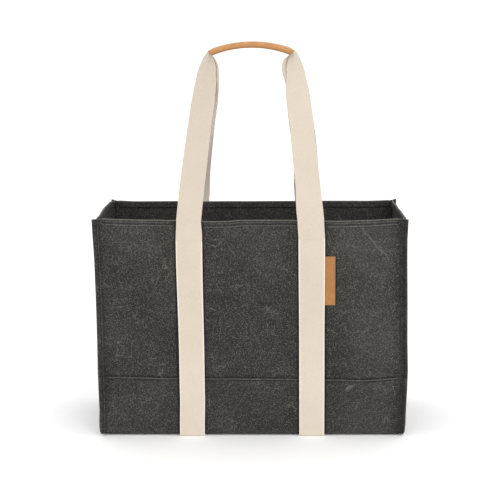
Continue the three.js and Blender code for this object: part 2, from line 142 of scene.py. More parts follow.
# Relief in millimetres, and rubbing and painted shade of the cloth and the leather, as bumps: size, middle
# and reach; below 0 is painted shade in creases, stitch grooves, under edges and beside raised parts
HEM_RELIEF = [(0.3, 3.4, 1.7), (0.28, 8.4, 1.0), (-0.5, HEM_STITCH, 0.85)]
HEM_WEAR_AND_SHADE = [(0.16, 3.7, 0.9), (0.42, 8.4, 0.6), (-0.35, 1.7, 0.6), (-0.6, HEM_STITCH, 0.7)]
HEM_WEAR_AND_SHADE += [(-0.25, 9.8, 0.7)]
HEM_INSIDE = [(0.2, 0.8, 0.8), (-0.2, HEM_DEPTH + 0.5, 0.7)]
FIN_RELIEF = [(-0.55, FIN_STITCH, 0.6), (0.12, 1.8, 0.6)]
FIN_WEAR_AND_SHADE = [(0.35, 1.9, 0.5), (-0.8, FIN_STITCH, 0.6)]
CREASE_SHADE = [(-0.5, 1.0, 1.6), (-0.15, 0.0, 9.0)]
LAP_RELIEF = [(0.45, 1.2, 0.8), (-0.5, LAP_STITCH, 0.7)]
LAP_WEAR_AND_SHADE = [(0.3, 1.1, 0.6), (-0.7, LAP_STITCH, 0.8)]
LAP_SHADE = [(-0.75, 1.2, 0.9)]
FOOT_WEAR = [(0.2, 0.0, 5.0)]
STRAP_SHADE = [(-1.0, 0.9, 1.5), (-0.1, 0.0, 14.0)]
TAB_SHADE = [(-1.0, 0.8, 1.3)]
TAB_RELIEF = [(-0.22, 2.2, 0.45), (0.06, 3.2, 0.5)]
TAB_WEAR = [(1.0, 0.2, 0.8)]
FIN_SHADE = 0.14  # painted shade on the fins
FAR_FIN_SHADE = 0.35  # more painted shade, on the right of a face and at the back of a side wall
BEND_SHADE = -0.5  # painted shade in the rounding of a crease
INSIDE_WEAR = 0.05
RAW_WEAR = 0.25  # along a raw edge
FIN_EDGE_WEAR = 0.4  # along the upper end of a fin
WALL_EDGE_WEAR = 0.85  # along the rims
SIDE_EDGE_WEAR = 0.7
RAW_ROUND = 0.35  # how far an edge bulges, as a share of half its thickness
HEM_ROUND = 0.9
TAB_ROUND = 0.75
PALER_RIGHT = (110.0, 180.0)  # along the cloth, where it gets a little paler
PALER_TOP = (230.0, 300.0)  # the same by height
WALL_PALER_RIGHT = 0.07
WALL_PALER_TOP = 0.04
BASE_PALER_RIGHT = 0.05
BASE_PALER = 0.03
STRAP_GROOVE = 0.22  # depth that the stitches press into a strap's edges, in millimetres
ROW_DENT = 0.1  # the same in the row across it
ROW_SHADE = 0.45
LOOSE_PALE = 0.05  # paleness of the selvages where a strap isn't sewn down
REAR_LIGHT = 0.8  # painted light on the back strap's inner half, low on its left leg, where the front strap shades it
REAR_SHADE = 0.2  # painted shade taken off that on both legs


def smooth(value, low, high):
    share = np.clip((np.asarray(value, dtype=float) - low) / (high - low), 0.0, 1.0)
    return share * share * (3.0 - 2.0 * share)


def swell(value, shape):
    """Rises from 0 to a size and falls back to 0."""
    size, start, full, ease, end = shape
    return size * (smooth(value, start, full) * (1.0 - smooth(value, ease, end)))


def bump(value, middle, reach):
    return np.exp(-((np.asarray(value, dtype=float) - middle) / reach) ** 2)


def profile(value, bumps):
    return sum(size * bump(value, middle, reach) for size, middle, reach in bumps)


def eased(x, knots, reach):
    """Smooth curve near the given (place, value) knots."""
    x = np.asarray(x, dtype=float)
    weights = [bump(x, place, reach) + 1e-9 for place, _ in knots]
    return sum(weight * value for weight, (_, value) in zip(weights, knots)) / sum(weights)


def soft_noise(u, v, size, seed):
    """Smooth noise from -1 to 1, with waves about size wide."""
    u, v = np.broadcast_arrays(u, v)
    flat = [noise.noise((a / size + seed, b / size - seed, seed)) for a, b in zip(u.ravel(), v.ravel())]
    return np.reshape(flat, u.shape)


def waves(u, v, layers, seed):
    return sum(depth * soft_noise(u, v, size, own + seed) for depth, size, own in layers)


def unit(vectors):
    length = np.linalg.norm(vectors, axis=-1, keepdims=True)
    return vectors / np.maximum(length, 1e-9)


def in_columns(*values):
    return np.stack(np.broadcast_arrays(*values), axis=1)


def put_in_scene(name, data):
    thing = bpy.data.objects.new(name, data)
    bpy.context.scene.collection.objects.link(thing)
    return thing


# Meshes: a piece from points in millimetres, and a thick sheet from rows of its middle surface
SHARP_ANGLE = 50.0  # degrees


def make_piece(name, points, faces, uvs, material, wear=None):
    mesh = bpy.data.meshes.new(name)
    mesh.from_pydata((np.asarray(points) * MM).tolist(), [], faces)
    corner = np.empty(len(mesh.loops), dtype=np.int32)
    mesh.loops.foreach_get("vertex_index", corner)
    layer = mesh.uv_layers.new(name="UVMap")
    layer.uv.foreach_set("vector", (np.asarray(uvs)[corner] * MM).astype(np.float32).ravel())
    # This field carries rubbing together with painted light and painted shade
    if wear is not None:
        attribute = mesh.attributes.new("wear", "FLOAT", "POINT")
        attribute.data.foreach_set("value", np.asarray(wear, dtype=np.float32))
    mesh.polygons.foreach_set("use_smooth", np.ones(len(mesh.polygons), dtype=bool))
    mesh.set_sharp_from_angle(angle=math.radians(SHARP_ANGLE))
    mesh.materials.append(material)
    mesh.update()
    piece = put_in_scene(name, mesh)
    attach(piece, "root")
    return piece


def grid_quads(rows, columns):
    first = (np.arange(rows - 1)[:, None] * columns + np.arange(columns - 1)[None, :]).ravel()
    return np.stack([first, first + 1, first + 1 + columns, first + columns], axis=1)


def ring_quads(rings, count, closed=False):
    """Quads from each ring of points to the next, and from the last to the first where closed."""
    quads = []
    for ring in range(rings if closed else rings - 1):
        here, there = ring * count, (ring + 1) % rings * count
        for k in range(count):
            following = (k + 1) % count
            quads.append([here + k, here + following, there + following, there + k])
    return quads


def cloth_row(place, uv, outer, wear, inner=CANVAS / 2, inside=0.0, edge=RAW_WEAR, roundness=RAW_ROUND):
    """One row of a sheet: the reach of both faces from the middle, and the rubbing and painted shade of
    each and of the edge.
    """
    values = {"outer": outer, "inner": inner, "roundness": roundness}
    values.update({"wear": wear, "inside": inside, "edge": edge})
    row = {key: np.broadcast_to(value, len(place)) for key, value in values.items()}
    return {"place": place, "uv": in_columns(*uv), **row}


def thick_sheet(name, grids, material, mirrored=False):
    """A closed sheet from grids of rows: the field above 0 is pale from rubbing, and below 0 is painted
    shade in creases, grooves and beside raised parts.
    """
    quads = []
    start = 0
    for rows in grids:
        columns = len(rows[0]["place"])
        quads.append(grid_quads(len(rows), columns) + start)
        start += len(rows) * columns
    every_row = [row for rows in grids for row in rows]
    data = {key: np.concatenate([row[key] for row in every_row]) for key in every_row[0]}
    keys = np.round(data["place"] / WELD).astype(np.int64)
    _, first, same = np.unique(keys, axis=0, return_index=True, return_inverse=True)
    data = {key: values[first] for key, values in data.items()}
    quads = same.reshape(-1)[np.concatenate(quads)]
    points = data["place"]
    if mirrored:
        points = points * np.array([-1.0, 1.0, 1.0])
        quads = quads[:, ::-1]
    one, two, three, four = (points[quads[:, k]] for k in range(4))
    normal = unit(np.cross(three - one, four - two))
    normals = np.zeros_like(points)
    for k in range(4):
        np.add.at(normals, quads[:, k], normal)
    normals = unit(normals)

    count = len(points)
    rings = [list(dict.fromkeys(quad)) for quad in quads.tolist()]
    rings = [ring for ring in rings if len(ring) > 2]
    faces = rings + [[k + count for k in reversed(ring)] for ring in rings]
    edges = {(a, b) for ring in rings for a, b in zip(ring, ring[1:] + ring[:1])}
    border = sorted((a, b) for a, b in edges if (b, a) not in edges)
    outward = np.zeros_like(points)
    for a, b in border:
        out = unit(np.cross(points[b] - points[a], normals[a] + normals[b]))
        outward[a] += out
        outward[b] += out
    outward = unit(outward)

    # The edge is closed by a round strip between the outer and the inner face
    outer, inner, roundness = (data[key][:, None] for key in ("outer", "inner", "roundness"))
    half = (outer + inner) / 2
    middle = points + normals * ((outer - inner) / 2)
    places = [points + normals * outer, points - normals * inner]
    uvs = [data["uv"], data["uv"]]
    wear = [data["wear"], data["inside"]]
    rim = np.array(sorted({a for a, _ in border}))
    on_rim = {int(v): k for k, v in enumerate(rim)}
    steps = 3
    for step in range(1, steps + 1):
        angle = step * math.pi / (steps + 1)
        strip = middle + normals * half * math.cos(angle) + outward * (half * roundness * math.sin(angle))
        places.append(strip[rim])
        uvs.append(data["uv"][rim] + np.array([0.0, 0.4 * step]))
        wear.append(data["edge"][rim])

    def across_edge(v):
        return [v] + [2 * count + step * len(rim) + on_rim[v] for step in range(steps)] + [v + count]

    for a, b in border:
        from_a, from_b = across_edge(a), across_edge(b)
        for s in range(steps + 1):
            faces.append([from_b[s], from_a[s], from_a[s + 1], from_b[s + 1]])
    places, uvs, wear = (np.concatenate(values) for values in (places, uvs, wear))
    return make_piece(name, places, faces, uvs, material, wear)


# Where the walls lie
def wall_ripple(face, x, z):
    x, z = np.broadcast_arrays(np.asarray(x, dtype=float), np.asarray(z, dtype=float))
    inner = STRAP_X - STRAP_CALM
    warped = np.sign(x) * (np.abs(x) - np.clip(np.abs(x) - inner, 0.0, 2 * STRAP_CALM))
    beside = np.abs(np.abs(x) - STRAP_X)
    calm = smooth(z, 270.0, 312.0) * (1.0 - smooth(beside, STRAP_CALM, CALM_END))
    share = smooth(WIDTH / 2 - np.abs(x), 8.0, 40.0) * smooth(z, 103.0, 140.0) * (1.0 - calm)
    return waves(warped, z, WALL_WAVES, face) * share


def wall_bow(x, z):
    return WALL_BOW * np.cos(np.pi * x / WIDTH) * np.sin(WALL_BOW_SHARE * np.pi * z / HEIGHT)


def wall_out(face, x, z):
    """Distance of a wall's middle from the middle of the bag."""
    return DEPTH / 2 + wall_bow(x, z) + wall_ripple(face, x, z)


# How far the rims stand above or below their usual height, at places along them
RIM_WAVES = {
    FRONT: [(-217.0, 3.2), (-190.0, 1.6), (-150.0, 0.8), (-100.0, 0.2), (-50.0, -1.7), (0.0, 0.2),
            (45.0, 0.0), (90.0, -1.4), (130.0, -2.0), (165.0, -1.4), (195.0, -0.2), (217.0, 1.5)],
    BACK: [(-217.0, 2.4), (-190.0, 0.3), (-140.0, 0.3), (-60.0, -0.4), (20.0, -0.6), (130.0, -0.4),
           (195.0, -0.6), (217.0, 1.2)],
}
RIM_REACH = 20.0  # over which one of these values passes into the next
RIM_SAG = 0.6  # of the side rims
FIN_RISE = {FRONT: -0.5, BACK: 1.4}  # of the fins' outer edges above the rims


def rim_height(face, x):
    return HEIGHT + eased(np.clip(x, -WIDTH / 2, WIDTH / 2), RIM_WAVES[face], RIM_REACH)


def side_rim(which, y):
    front, back = (rim_height(face, which * WIDTH / 2) for face in (FRONT, BACK))
    share = np.clip(np.asarray(y, dtype=float) / DEPTH + 0.5, 0.0, 1.0)
    return front + (back - front) * share - RIM_SAG * np.sin(np.pi * share)


# The front corner seams: turn away from the diagonal in degrees, and how far they stand outwards, by height
SEAM_TURN = 18.0
SEAM_SHIFTS = {
    LEFT: [(0.0, 0.6), (13.0, 0.3), (41.0, -0.9), (71.0, -0.4), (102.0, -0.2), (147.0, -0.7),
           (207.0, -0.7), (266.0, -0.1), (295.0, 1.0), (318.0, 1.8)],
    RIGHT: [(0.0, -0.3), (13.0, -0.3), (40.0, 0.1), (70.0, 1.4), (100.0, 2.2), (145.0, 1.0),
            (205.0, 0.4), (264.0, -0.7), (294.0, -0.9), (318.0, 0.1)],
}
SHIFT_REACH = 26.0  # how far onto a wall that shift goes


def seam_angle(face, z):
    """Angle of a seam's fin from the bag's width, in radians, at a height."""
    turn = SEAM_TURN * smooth(z, 4.0, 22.0) * (np.asarray(face) == FRONT)
    return np.radians(45.0 - turn)


def seam_shift(face, side, z):
    left, right = (np.interp(z, *zip(*SEAM_SHIFTS[which])) for which in (LEFT, RIGHT))
    return np.where(np.asarray(side) < 0, left, right) * (np.asarray(face) == FRONT)


# How far the upper edge of the front band stands above or below its usual height
LAP_WAVES = [(-205.0, 2.7), (-165.0, 2.2), (-125.0, 1.1), (-40.0, 0.8), (0.0, 0.6), (40.0, 0.3),
             (85.0, -0.7), (125.0, -1.2), (160.0, -2.3), (185.0, -1.8), (204.0, 0.9)]
LAP_REACH = 16.0


def lap_rise(face, x):
    return eased(x, LAP_WAVES, LAP_REACH) if face == FRONT else np.zeros_like(np.asarray(x, dtype=float))


def lap_layer(z, ramp=LAP_RAMP):
    below = smooth(z, LAP_FOOT - 3 - ramp, LAP_FOOT - 3)
    above = smooth(z, LAP_TOP + 1, LAP_TOP + 1 + ramp)
    return LAP_STEP * (below - above)


# Columns across a face: insets from the crease on the wall, then the rounding, then the seam's fin
NEAR_INSETS = [FILLET, 2.6, 3.6, 5.0, 7.0, 10.0, 14.0, 19.0, 25.0]
FIN_STEPS = [FILLET, 2.1, 2.5, 2.9, 3.4, 3.9, 4.4, 5.0, 6.0, 7.0, 7.7, FIN_LENGTH]
TAB_EDGE = STRAP_X + STRAP_WIDTH / 2 + TAB_REACH
EDGE_COLUMNS = [TAB_EDGE + step for step in (-0.6, 0.3, 1.1, 2.0, 3.2)]
for step in (-0.6, 0.4, 1.2, 2.1, 3.3):
    EDGE_COLUMNS += [STRAP_X + side * (STRAP_WIDTH / 2 + step) for side in (-1, 1)]


def seam_columns(crease, steps, extra=()):
    """Side, inset, fin distance and rounding share for each column, from one seam's edge to the other's."""
    inner = [*np.linspace(crease - NEAR_INSETS[-1], 0.0, steps + 1)[1:], *extra]
    inner = np.array(sorted(inner, reverse=True))
    half = [(inset, 0.0, 0.0) for inset in reversed([*NEAR_INSETS, *(crease - inner[:-1])])]
    half += [(FILLET, FILLET, share) for share in (0.25, 0.5, 0.75)]
    half += [(0.0, step, 1.0) for step in FIN_STEPS]
    table = [(-1.0, *row) for row in reversed(half)]
    table += [(1.0, *row) for row in [(crease, 0.0, 0.0), *half]]
    return np.array(table).T


def along_row(columns, crease):
    """Distance along the cloth of each column, from the middle."""
    side, inset, fin, share = columns
    rounding = crease + FILLET * (2 * share - 1)
    wall = np.where(share > 0, rounding, crease - inset)
    return side * np.where(share >= 1, crease + fin, wall)


FACE_CREASE = WIDTH / 2 - SEAM_OFFSET * math.sqrt(2)
SIDE_CREASE = DEPTH / 2 - SEAM_OFFSET * math.sqrt(2)
FACE_COLUMNS = seam_columns(FACE_CREASE, 54, EDGE_COLUMNS)
SIDE_COLUMNS = seam_columns(SIDE_CREASE, 18)
FACE_ALONG = along_row(FACE_COLUMNS, FACE_CREASE)
SIDE_ALONG = along_row(SIDE_COLUMNS, SIDE_CREASE)


def rounded_crease(wall, corner, fin, share):
    share = np.reshape(share, (-1, 1))
    return (1 - share) ** 2 * wall + 2 * share * (1 - share) * corner + share ** 2 * fin


def near_seam(inset):
    return 1.0 - smooth(inset, 0.0, SHIFT_REACH)


def layer_crease(layer):
    """Place along the width of the crease of a layer that lies on the wall."""
    return FACE_CREASE - layer * math.tan(math.pi / 8)


def face_row(face, heights, layer):
    """One row of the front or back wall, or of the base panel's band."""
    side, inset, fin, share = FACE_COLUMNS
    crease = layer_crease(layer)
    x = side * (FACE_CREASE - inset) * crease / FACE_CREASE
    heights = np.broadcast_to(heights, x.shape)
    shift = side * seam_shift(face, side, heights)
    wall = in_columns(x + shift * near_seam(inset), face * (wall_out(face, x, heights) + layer), heights)
    corner = in_columns(side * crease + shift, face * (DEPTH / 2 + layer), heights)
    length = math.sqrt(2) * (WIDTH / 2 + SEAM_REACH - crease) - SEAM_OFFSET - layer
    angle = seam_angle(face, heights)
    heading = in_columns(side * np.cos(angle), face * np.sin(angle), 0.0)
    return rounded_crease(wall, corner, corner + heading * (length * fin / FIN_LENGTH)[:, None], share)


def off_fin(columns):
    """1 on the wall, 0 near the crease and on the fin."""
    return smooth(columns[1], 2.5, 8.0)


def fin_relief(columns):
    """The groove that the stitches press into a fin."""
    return np.where(columns[2] > 0, profile(columns[2], FIN_RELIEF), 0.0)


def fin_wear_and_shade(columns):
    """Pale rubbing and painted shade of a fin, and painted shade on the wall near its crease."""
    side, inset, fin, share = columns
    lines = profile(fin, FIN_WEAR_AND_SHADE) - FIN_SHADE - FAR_FIN_SHADE * (side > 0)
    return np.where(share >= 1, lines, np.where(share > 0, BEND_SHADE, profile(inset, CREASE_SHADE)))


def strap_shade(x):
    """Painted shade on the canvas close to the edges of the straps."""
    return profile(np.abs(np.abs(x) - STRAP_X) - STRAP_WIDTH / 2, STRAP_SHADE)


def tab_shade(x, z):
    """Painted shadow on the canvas close to the free edge of the tab."""
    beside = swell(z, (1.0, TAB_BOTTOM - 2, TAB_BOTTOM, TAB_TOP, TAB_TOP + 2))
    return profile(x - TAB_EDGE, TAB_SHADE) * beside


# Rows of a wall: distances below the rim in the hem, and distances above the lap
HEM_ROWS = [16.0, 14.0, 12.5, 11.4, 10.7, 10.1, 9.6, 9.0, 8.5, 8.0, 7.4, 6.9, 6.4, 5.9, 5.4, 4.9, 4.3, 3.6]
HEM_ROWS += [2.9, 2.2, 1.3]
LAP_ROWS = [-1.0, 0.0, 0.7, 1.4, 2.1, 2.9, 4.0]
BACK_CLOTH = 2000.0  # sets the pattern of the back wall apart from the front one's


def hemmed_row(columns, place, uv, below, tone_shift, rim_wear):
    """One row of a wall with a puffed hem, which is folded to the inside, and a row of stitches."""
    wall = off_fin(columns)
    folded = CANVAS * (1.0 - smooth(below, HEM_DEPTH - 0.3, HEM_DEPTH + 0.7)) * wall
    on_edge = below < HEM_EDGE
    return cloth_row(
        place,
        uv,
        CANVAS / 2 + profile(below, HEM_RELIEF) * wall + fin_relief(columns),
        np.clip(tone_shift * wall + fin_wear_and_shade(columns), -1.0, 1.0),
        CANVAS / 2 + folded,
        profile(below, HEM_INSIDE) * wall + INSIDE_WEAR,
        np.where(on_edge, np.where(columns[2] > 0, FIN_EDGE_WEAR, rim_wear), RAW_WEAR),
        np.where(on_edge, HEM_ROUND, RAW_ROUND),
    )


def wall_panel(name, face, material):
    along = FACE_ALONG
    rim = rim_height(face, along) + FIN_RISE[face] * FACE_COLUMNS[2] / FIN_LENGTH
    lap = LAP_TOP + lap_rise(face, along)
    low = LAP_ROWS[-1]
    levels = [np.full_like(along, LAP_FOOT), np.full_like(along, LAP_FOOT + 3.0)]
    levels += [lap + above for above in LAP_ROWS]
    for part in np.linspace(0.0, 1.0, 62)[1:-1]:
        levels.append(lap + low + (rim - HEM_ROWS[0] - lap - low) * part)
    levels += [rim - below for below in HEM_ROWS]
    rows = []
    for heights in levels:
        below = rim - heights
        tone_shift = profile(below, HEM_WEAR_AND_SHADE) + strap_shade(along) + profile(heights - lap, LAP_SHADE)
        tone_shift = tone_shift + WALL_PALER_RIGHT * smooth(along, *PALER_RIGHT)
        tone_shift = tone_shift + WALL_PALER_TOP * smooth(heights, *PALER_TOP)
        if face == FRONT:
            tone_shift = tone_shift + tab_shade(along, heights)
        uv = (along + (BACK_CLOTH if face == BACK else 0.0), heights)
        rows.append(hemmed_row(FACE_COLUMNS, face_row(face, heights, 0.0), uv, below, tone_shift, WALL_EDGE_WEAR))
    if face == BACK:
        rows.reverse()
    return thick_sheet(name, [rows], material)


# The base panel: back band downwards, bottom, front band upwards
BAND_ROUND = 4.0  # of the bends between the bottom and the bands
BAND_ROWS = [12.0, 9.0, 7.2, 5.6, 4.6, 4.0, 3.5, 3.1, 2.7, 2.3, 1.9, 1.5, 1.1, 0.7]  # below a band's edge
FAR_BELOW = 60.0  # far enough from that edge to show nothing of it


def base_row(place, distance, below):
    wall = off_fin(FACE_COLUMNS)
    tone_shift = profile(below, LAP_WEAR_AND_SHADE) + profile(distance, FOOT_WEAR)
    tone_shift = tone_shift + strap_shade(FACE_ALONG) + BASE_PALER + BASE_PALER_RIGHT * smooth(FACE_ALONG, *PALER_RIGHT)
    return cloth_row(
        place,
        (FACE_ALONG, distance),
        CANVAS / 2 + profile(below, LAP_RELIEF) * wall + fin_relief(FACE_COLUMNS),
        np.clip(tone_shift * wall + fin_wear_and_shade(FACE_COLUMNS), -1.0, 1.0),
        roundness=HEM_ROUND if below < 1.0 else RAW_ROUND,
    )


def bottom_row(y):
    """One row of the bottom, whose fins turn towards the corners near the bands."""
    side, _, fin, share = FACE_COLUMNS
    out = fin / FIN_LENGTH
    x = np.where(share >= 1, side * (FACE_CREASE + SEAM_REACH * out), FACE_ALONG)
    turn = np.clip((abs(y) - (DEPTH / 2 - SEAM_REACH)) / SEAM_REACH, 0.0, 1.0)
    corner_y = math.copysign(DEPTH / 2 + SEAM_REACH, y)
    return in_columns(x, y + (corner_y - y) * (turn * out), BASE_Z)


def band_rows(face):
    """Rows from the bend at the bottom up to a band's edge."""
    upper = face_row(face, BASE_Z + BAND_ROUND, 0.0)
    corner = face_row(face, BASE_Z, 0.0)
    lower = bottom_row(face * (DEPTH / 2 - BAND_ROUND))
    rows = []
    for part in (0.8, 0.6, 0.4, 0.2):
        place = rounded_crease(upper, corner, lower, part)
        rows.append(base_row(place, BASE_Z + BAND_ROUND * (1 - 2 * part), FAR_BELOW))
    levels = [*np.linspace(BASE_Z + BAND_ROUND, LAP_TOP - 14.0, 20)]
    levels += [LAP_TOP - below for below in BAND_ROWS]
    for z in levels:
        heights = z + lap_rise(face, FACE_ALONG) * smooth(z, LAP_TOP - 45.0, LAP_TOP - 12.0)
        rows.append(base_row(face_row(face, heights, lap_layer(z)), z, LAP_TOP - z))
    return rows


def base_panel(name, material):
    half = DEPTH / 2 - BAND_ROUND
    bottom = [base_row(bottom_row(y), abs(y) - DEPTH / 2, FAR_BELOW) for y in np.linspace(half, -half, 36)]
    return thick_sheet(name, [band_rows(BACK)[::-1] + bottom + band_rows(FRONT)], material)


# A side wall, made for the right and mirrored for the left
SIDE_FLARES = {
    LEFT: [(-75.0, 2.8), (-50.0, 4.6), (-12.0, 6.2), (40.0, 7.0), (80.0, 6.6)],
    RIGHT: [(-75.0, 5.0), (-30.0, 4.6), (20.0, 2.6), (75.0, 0.8)],
}
FLARE_REACH = 24.0
SIDE_SEEDS = {LEFT: 23.5, RIGHT: 11.5}


def side_out(which, y, z):
    """Distance of a side wall's middle from the middle of the bag."""
    round_y = np.cos(np.pi * np.clip(y / DEPTH, -0.5, 0.5))
    to_crease = SIDE_CREASE - np.abs(y)
    flare = eased(y, SIDE_FLARES[which], FLARE_REACH) * smooth(to_crease, 0.0, 14.0) * (z / HEIGHT) ** 3
    flare = flare - SIDE_DISH * round_y * np.sin(np.pi * np.clip(z / HEIGHT, 0.0, 1.0))
    calm = smooth(to_crease, 4.0, 26.0) * smooth(z, 12.0, 50.0)
    return WIDTH / 2 + flare + waves(y, z, SIDE_WAVES, SIDE_SEEDS[which]) * calm


def side_panel(name, which, material):
    side, inset, fin, share = SIDE_COLUMNS
    y = side * (SIDE_CREASE - inset)
    rise = np.where(side < 0, FIN_RISE[FRONT], FIN_RISE[BACK])
    rim = side_rim(which, y) + rise * fin / FIN_LENGTH
    foot = SIDE_FOOT_Z + FILLET
    levels = [foot + (rim - HEM_ROWS[0] - foot) * part for part in np.linspace(0.0, 1.0, 80)[:-1]]
    levels += [rim - below for below in HEM_ROWS]
    rows = []
    for heights in levels:
        shift = seam_shift(side, which, heights)
        wall = in_columns(side_out(which, y, heights) + shift * near_seam(inset), y, heights)
        corner = in_columns(WIDTH / 2 + shift, side * SIDE_CREASE, heights)
        angle = seam_angle(side, heights)
        heading = in_columns(np.cos(angle), side * np.sin(angle), 0.0)
        place = rounded_crease(wall, corner, corner + heading * fin[:, None], share)
        below = rim - heights
        tone_shift = profile(below, HEM_WEAR_AND_SHADE)
        rows.append(hemmed_row(SIDE_COLUMNS, place, (SIDE_ALONG, heights), below, tone_shift, SIDE_EDGE_WEAR))

    # The seam along the bottom, which runs into the fins at both ends
    bottom = {key: values[share == 0] for key, values in rows[0].items()}
    bottom_y = y[share == 0]
    back_end = np.flatnonzero((side > 0) & (share > 0))
    front_end = np.flatnonzero((side < 0) & (share > 0))[::-1]
    to_end = smooth(np.abs(bottom_y), DEPTH / 2 - 2 * SEAM_REACH, SIDE_CREASE - FILLET)[:, None]
    corner = in_columns(WIDTH / 2, bottom_y, SIDE_FOOT_Z)
    flange = [bottom]
    for front_k, back_k in zip(front_end, back_end):
        reach, part = fin[back_k], share[back_k]
        tip = in_columns(WIDTH / 2 + reach / FIN_LENGTH * SEAM_REACH, bottom_y, SIDE_FOOT_Z)
        plain = rounded_crease(bottom["place"], corner, tip, part)
        ends = np.where((bottom_y < 0)[:, None], rows[0]["place"][front_k], rows[0]["place"][back_k])
        place = plain + (ends - plain) * to_end
        uv = (bottom_y, SIDE_FOOT_Z - (SIDE_ALONG[back_k] - SIDE_CREASE))
        columns = (1.0, 0.0, reach, part)
        on_fin = part >= 1
        outer = CANVAS / 2 + fin_relief(columns) * on_fin
        flange.append(cloth_row(place, uv, outer, fin_wear_and_shade(columns) * on_fin))
    return thick_sheet(name, [rows, flange[::-1]], material, mirrored=which == LEFT)


# Stitches: small flat lozenges of thread, each given by its middle, heading and outward side
STITCH_AROUND = 6
STITCH_RINGS = [(-0.8, 0.62), (-0.3, 1.0), (0.3, 1.0), (0.8, 0.62)]  # place along a half, and thickness
STITCH_FLAT = 0.8
STITCH_SINK = 0.5  # how far the tips go down, as a share of the radius
ALONG_X = (1.0, 0.0, 0.0)
ALONG_Y = (0.0, 1.0, 0.0)
UP = (0.0, 0.0, 1.0)


def stitch_rows(name, stitches, material, length=3.1, radius=0.42):
    around = STITCH_AROUND
    last = (len(STITCH_RINGS) - 1) * around
    tips = last + around
    shape = ring_quads(len(STITCH_RINGS), around)
    for k in range(around):
        following = (k + 1) % around
        shape += [[tips, following, k], [tips + 1, last + k, last + following]]
    points, faces, uvs = [], [], []
    for middle, heading, out in stitches:
        middle, heading, out = np.asarray(middle), unit(np.asarray(heading)), unit(np.asarray(out))
        across = np.cross(out, heading)
        start = len(points)
        faces += [[start + k for k in ring] for ring in shape]
        for place, size in STITCH_RINGS:
            station = middle + heading * (place * length / 2)
            sink = -STITCH_SINK * radius * place * place
            for k in range(around):
                turn = 2 * math.pi * k / around
                offset = across * math.cos(turn) + out * (STITCH_FLAT * math.sin(turn))
                points.append(station + offset * radius * size + out * sink)
                uvs.append((place * length / 2, turn))
        for place in (-1.0, 1.0):
            points.append(middle + heading * (place * length / 2) - out * STITCH_SINK * radius)
            uvs.append((place * length / 2, 0.0))
    return make_piece(name, points, faces, uvs, material)


def spaced(start, end, pitch=PITCH):
    count = max(int(abs(end - start) / pitch), 1)
    return start + (np.arange(count) + 0.5) * (end - start) / count


def face_stitches(face, inset, height_at, layer, turned=1):
    """A row of stitches along a face, turned to the outside or, with -1, to the inside."""
    row = []
    for x in spaced(-FACE_CREASE + inset, FACE_CREASE - inset):
        z = height_at(face, x)
        row.append(((x, face * (wall_out(face, x, z) + layer), z), ALONG_X, (0.0, turned * face, 0.0)))
    return row


def hem_height(face, x):
    return rim_height(face, x) - HEM_STITCH


def lap_height(face, x):
    return LAP_TOP - LAP_STITCH + lap_rise(face, x)


def fin_stitch(face, side, x, y, z, turned=1):
    """One stitch of a fin whose crease is at x, y; on the face's side or, with -1, on the side wall's."""
    angle = seam_angle(face, z)
    along, beside = math.cos(angle), math.sin(angle)
    out = turned * np.array([-side * beside, face * along, 0.0])
    x = x + seam_shift(face, side, z) + FIN_STITCH * along
    place = np.array([side * x, face * (y + FIN_STITCH * beside), z])
    return place + out * STITCH_OUT, UP, out


def wall_stitches(face):
    stitches = face_stitches(face, 4.0, hem_height, STITCH_OUT)
    stitches += face_stitches(face, 4.0, hem_height, STITCH_IN, -1)
    for side in (LEFT, RIGHT):
        heights = spaced(LAP_TOP + 3, HEIGHT - 2)
        stitches += [fin_stitch(face, side, FACE_CREASE, DEPTH / 2, z) for z in heights]
    return stitches


def base_stitches():
    stitches = []
    for face in (FRONT, BACK):
        stitches += face_stitches(face, 5.0, lap_height, LAP_STEP + CANVAS / 2 - 0.25)
    for face in (FRONT, BACK):
        for side in (LEFT, RIGHT):
            for z in spaced(BASE_Z + 5, LAP_TOP - 2):
                layer = lap_layer(z)
                stitches.append(fin_stitch(face, side, layer_crease(layer), DEPTH / 2 + layer, z))
    return stitches


def side_stitches(which):
    stitches = []
    for layer, turned in ((STITCH_OUT, 1), (STITCH_IN, -1)):
        for y in spaced(-SIDE_CREASE + 4.0, SIDE_CREASE - 4.0):
            z = side_rim(which, y) - HEM_STITCH
            place = (which * (side_out(which, y, z) + layer), y, z)
            stitches.append((place, ALONG_Y, (turned * which, 0.0, 0.0)))
    for face in (FRONT, BACK):
        heights = spaced(SIDE_FOOT_Z + 6.0, HEIGHT - 2.0)
        stitches += [fin_stitch(face, which, WIDTH / 2, SIDE_CREASE, z, -1) for z in heights]
    x = which * (WIDTH / 2 + FIN_STITCH / FIN_LENGTH * SEAM_REACH)
    for y in spaced(-DEPTH / 2 + 2 * SEAM_REACH, DEPTH / 2 - 2 * SEAM_REACH):
        stitches.append(((x, y, SIDE_FOOT_Z + STITCH_OUT), ALONG_Y, UP))
    return stitches


# Straps: stations along each strap, with the direction to the strap's inner edge
TAB_LIFT = GAP + TAB_THICKNESS + 0.4
END_ANGLE = math.asin(ARCH_HALF_SPAN / ARCH_RADIUS)
GRIP_ANGLE = END_ANGLE - GRIP_SETBACK / ARCH_RADIUS
ARCH_CENTRE_Z = ARCH_CROWN - ARCH_RADIUS
END_Z = ARCH_CENTRE_Z + ARCH_RADIUS * math.cos(END_ANGLE)
TO_FRONT = np.array([0.0, -1.0, 0.0])


def tab_lift(face, side, z):
    """How far the tab lifts the outer edge of the strap that it lies under."""
    if face != FRONT or side != RIGHT:
        return 0.0
    return TAB_LIFT * (smooth(z, TAB_BOTTOM - 20, TAB_BOTTOM - 2) - smooth(z, TAB_TOP + 2, TAB_TOP + 20))


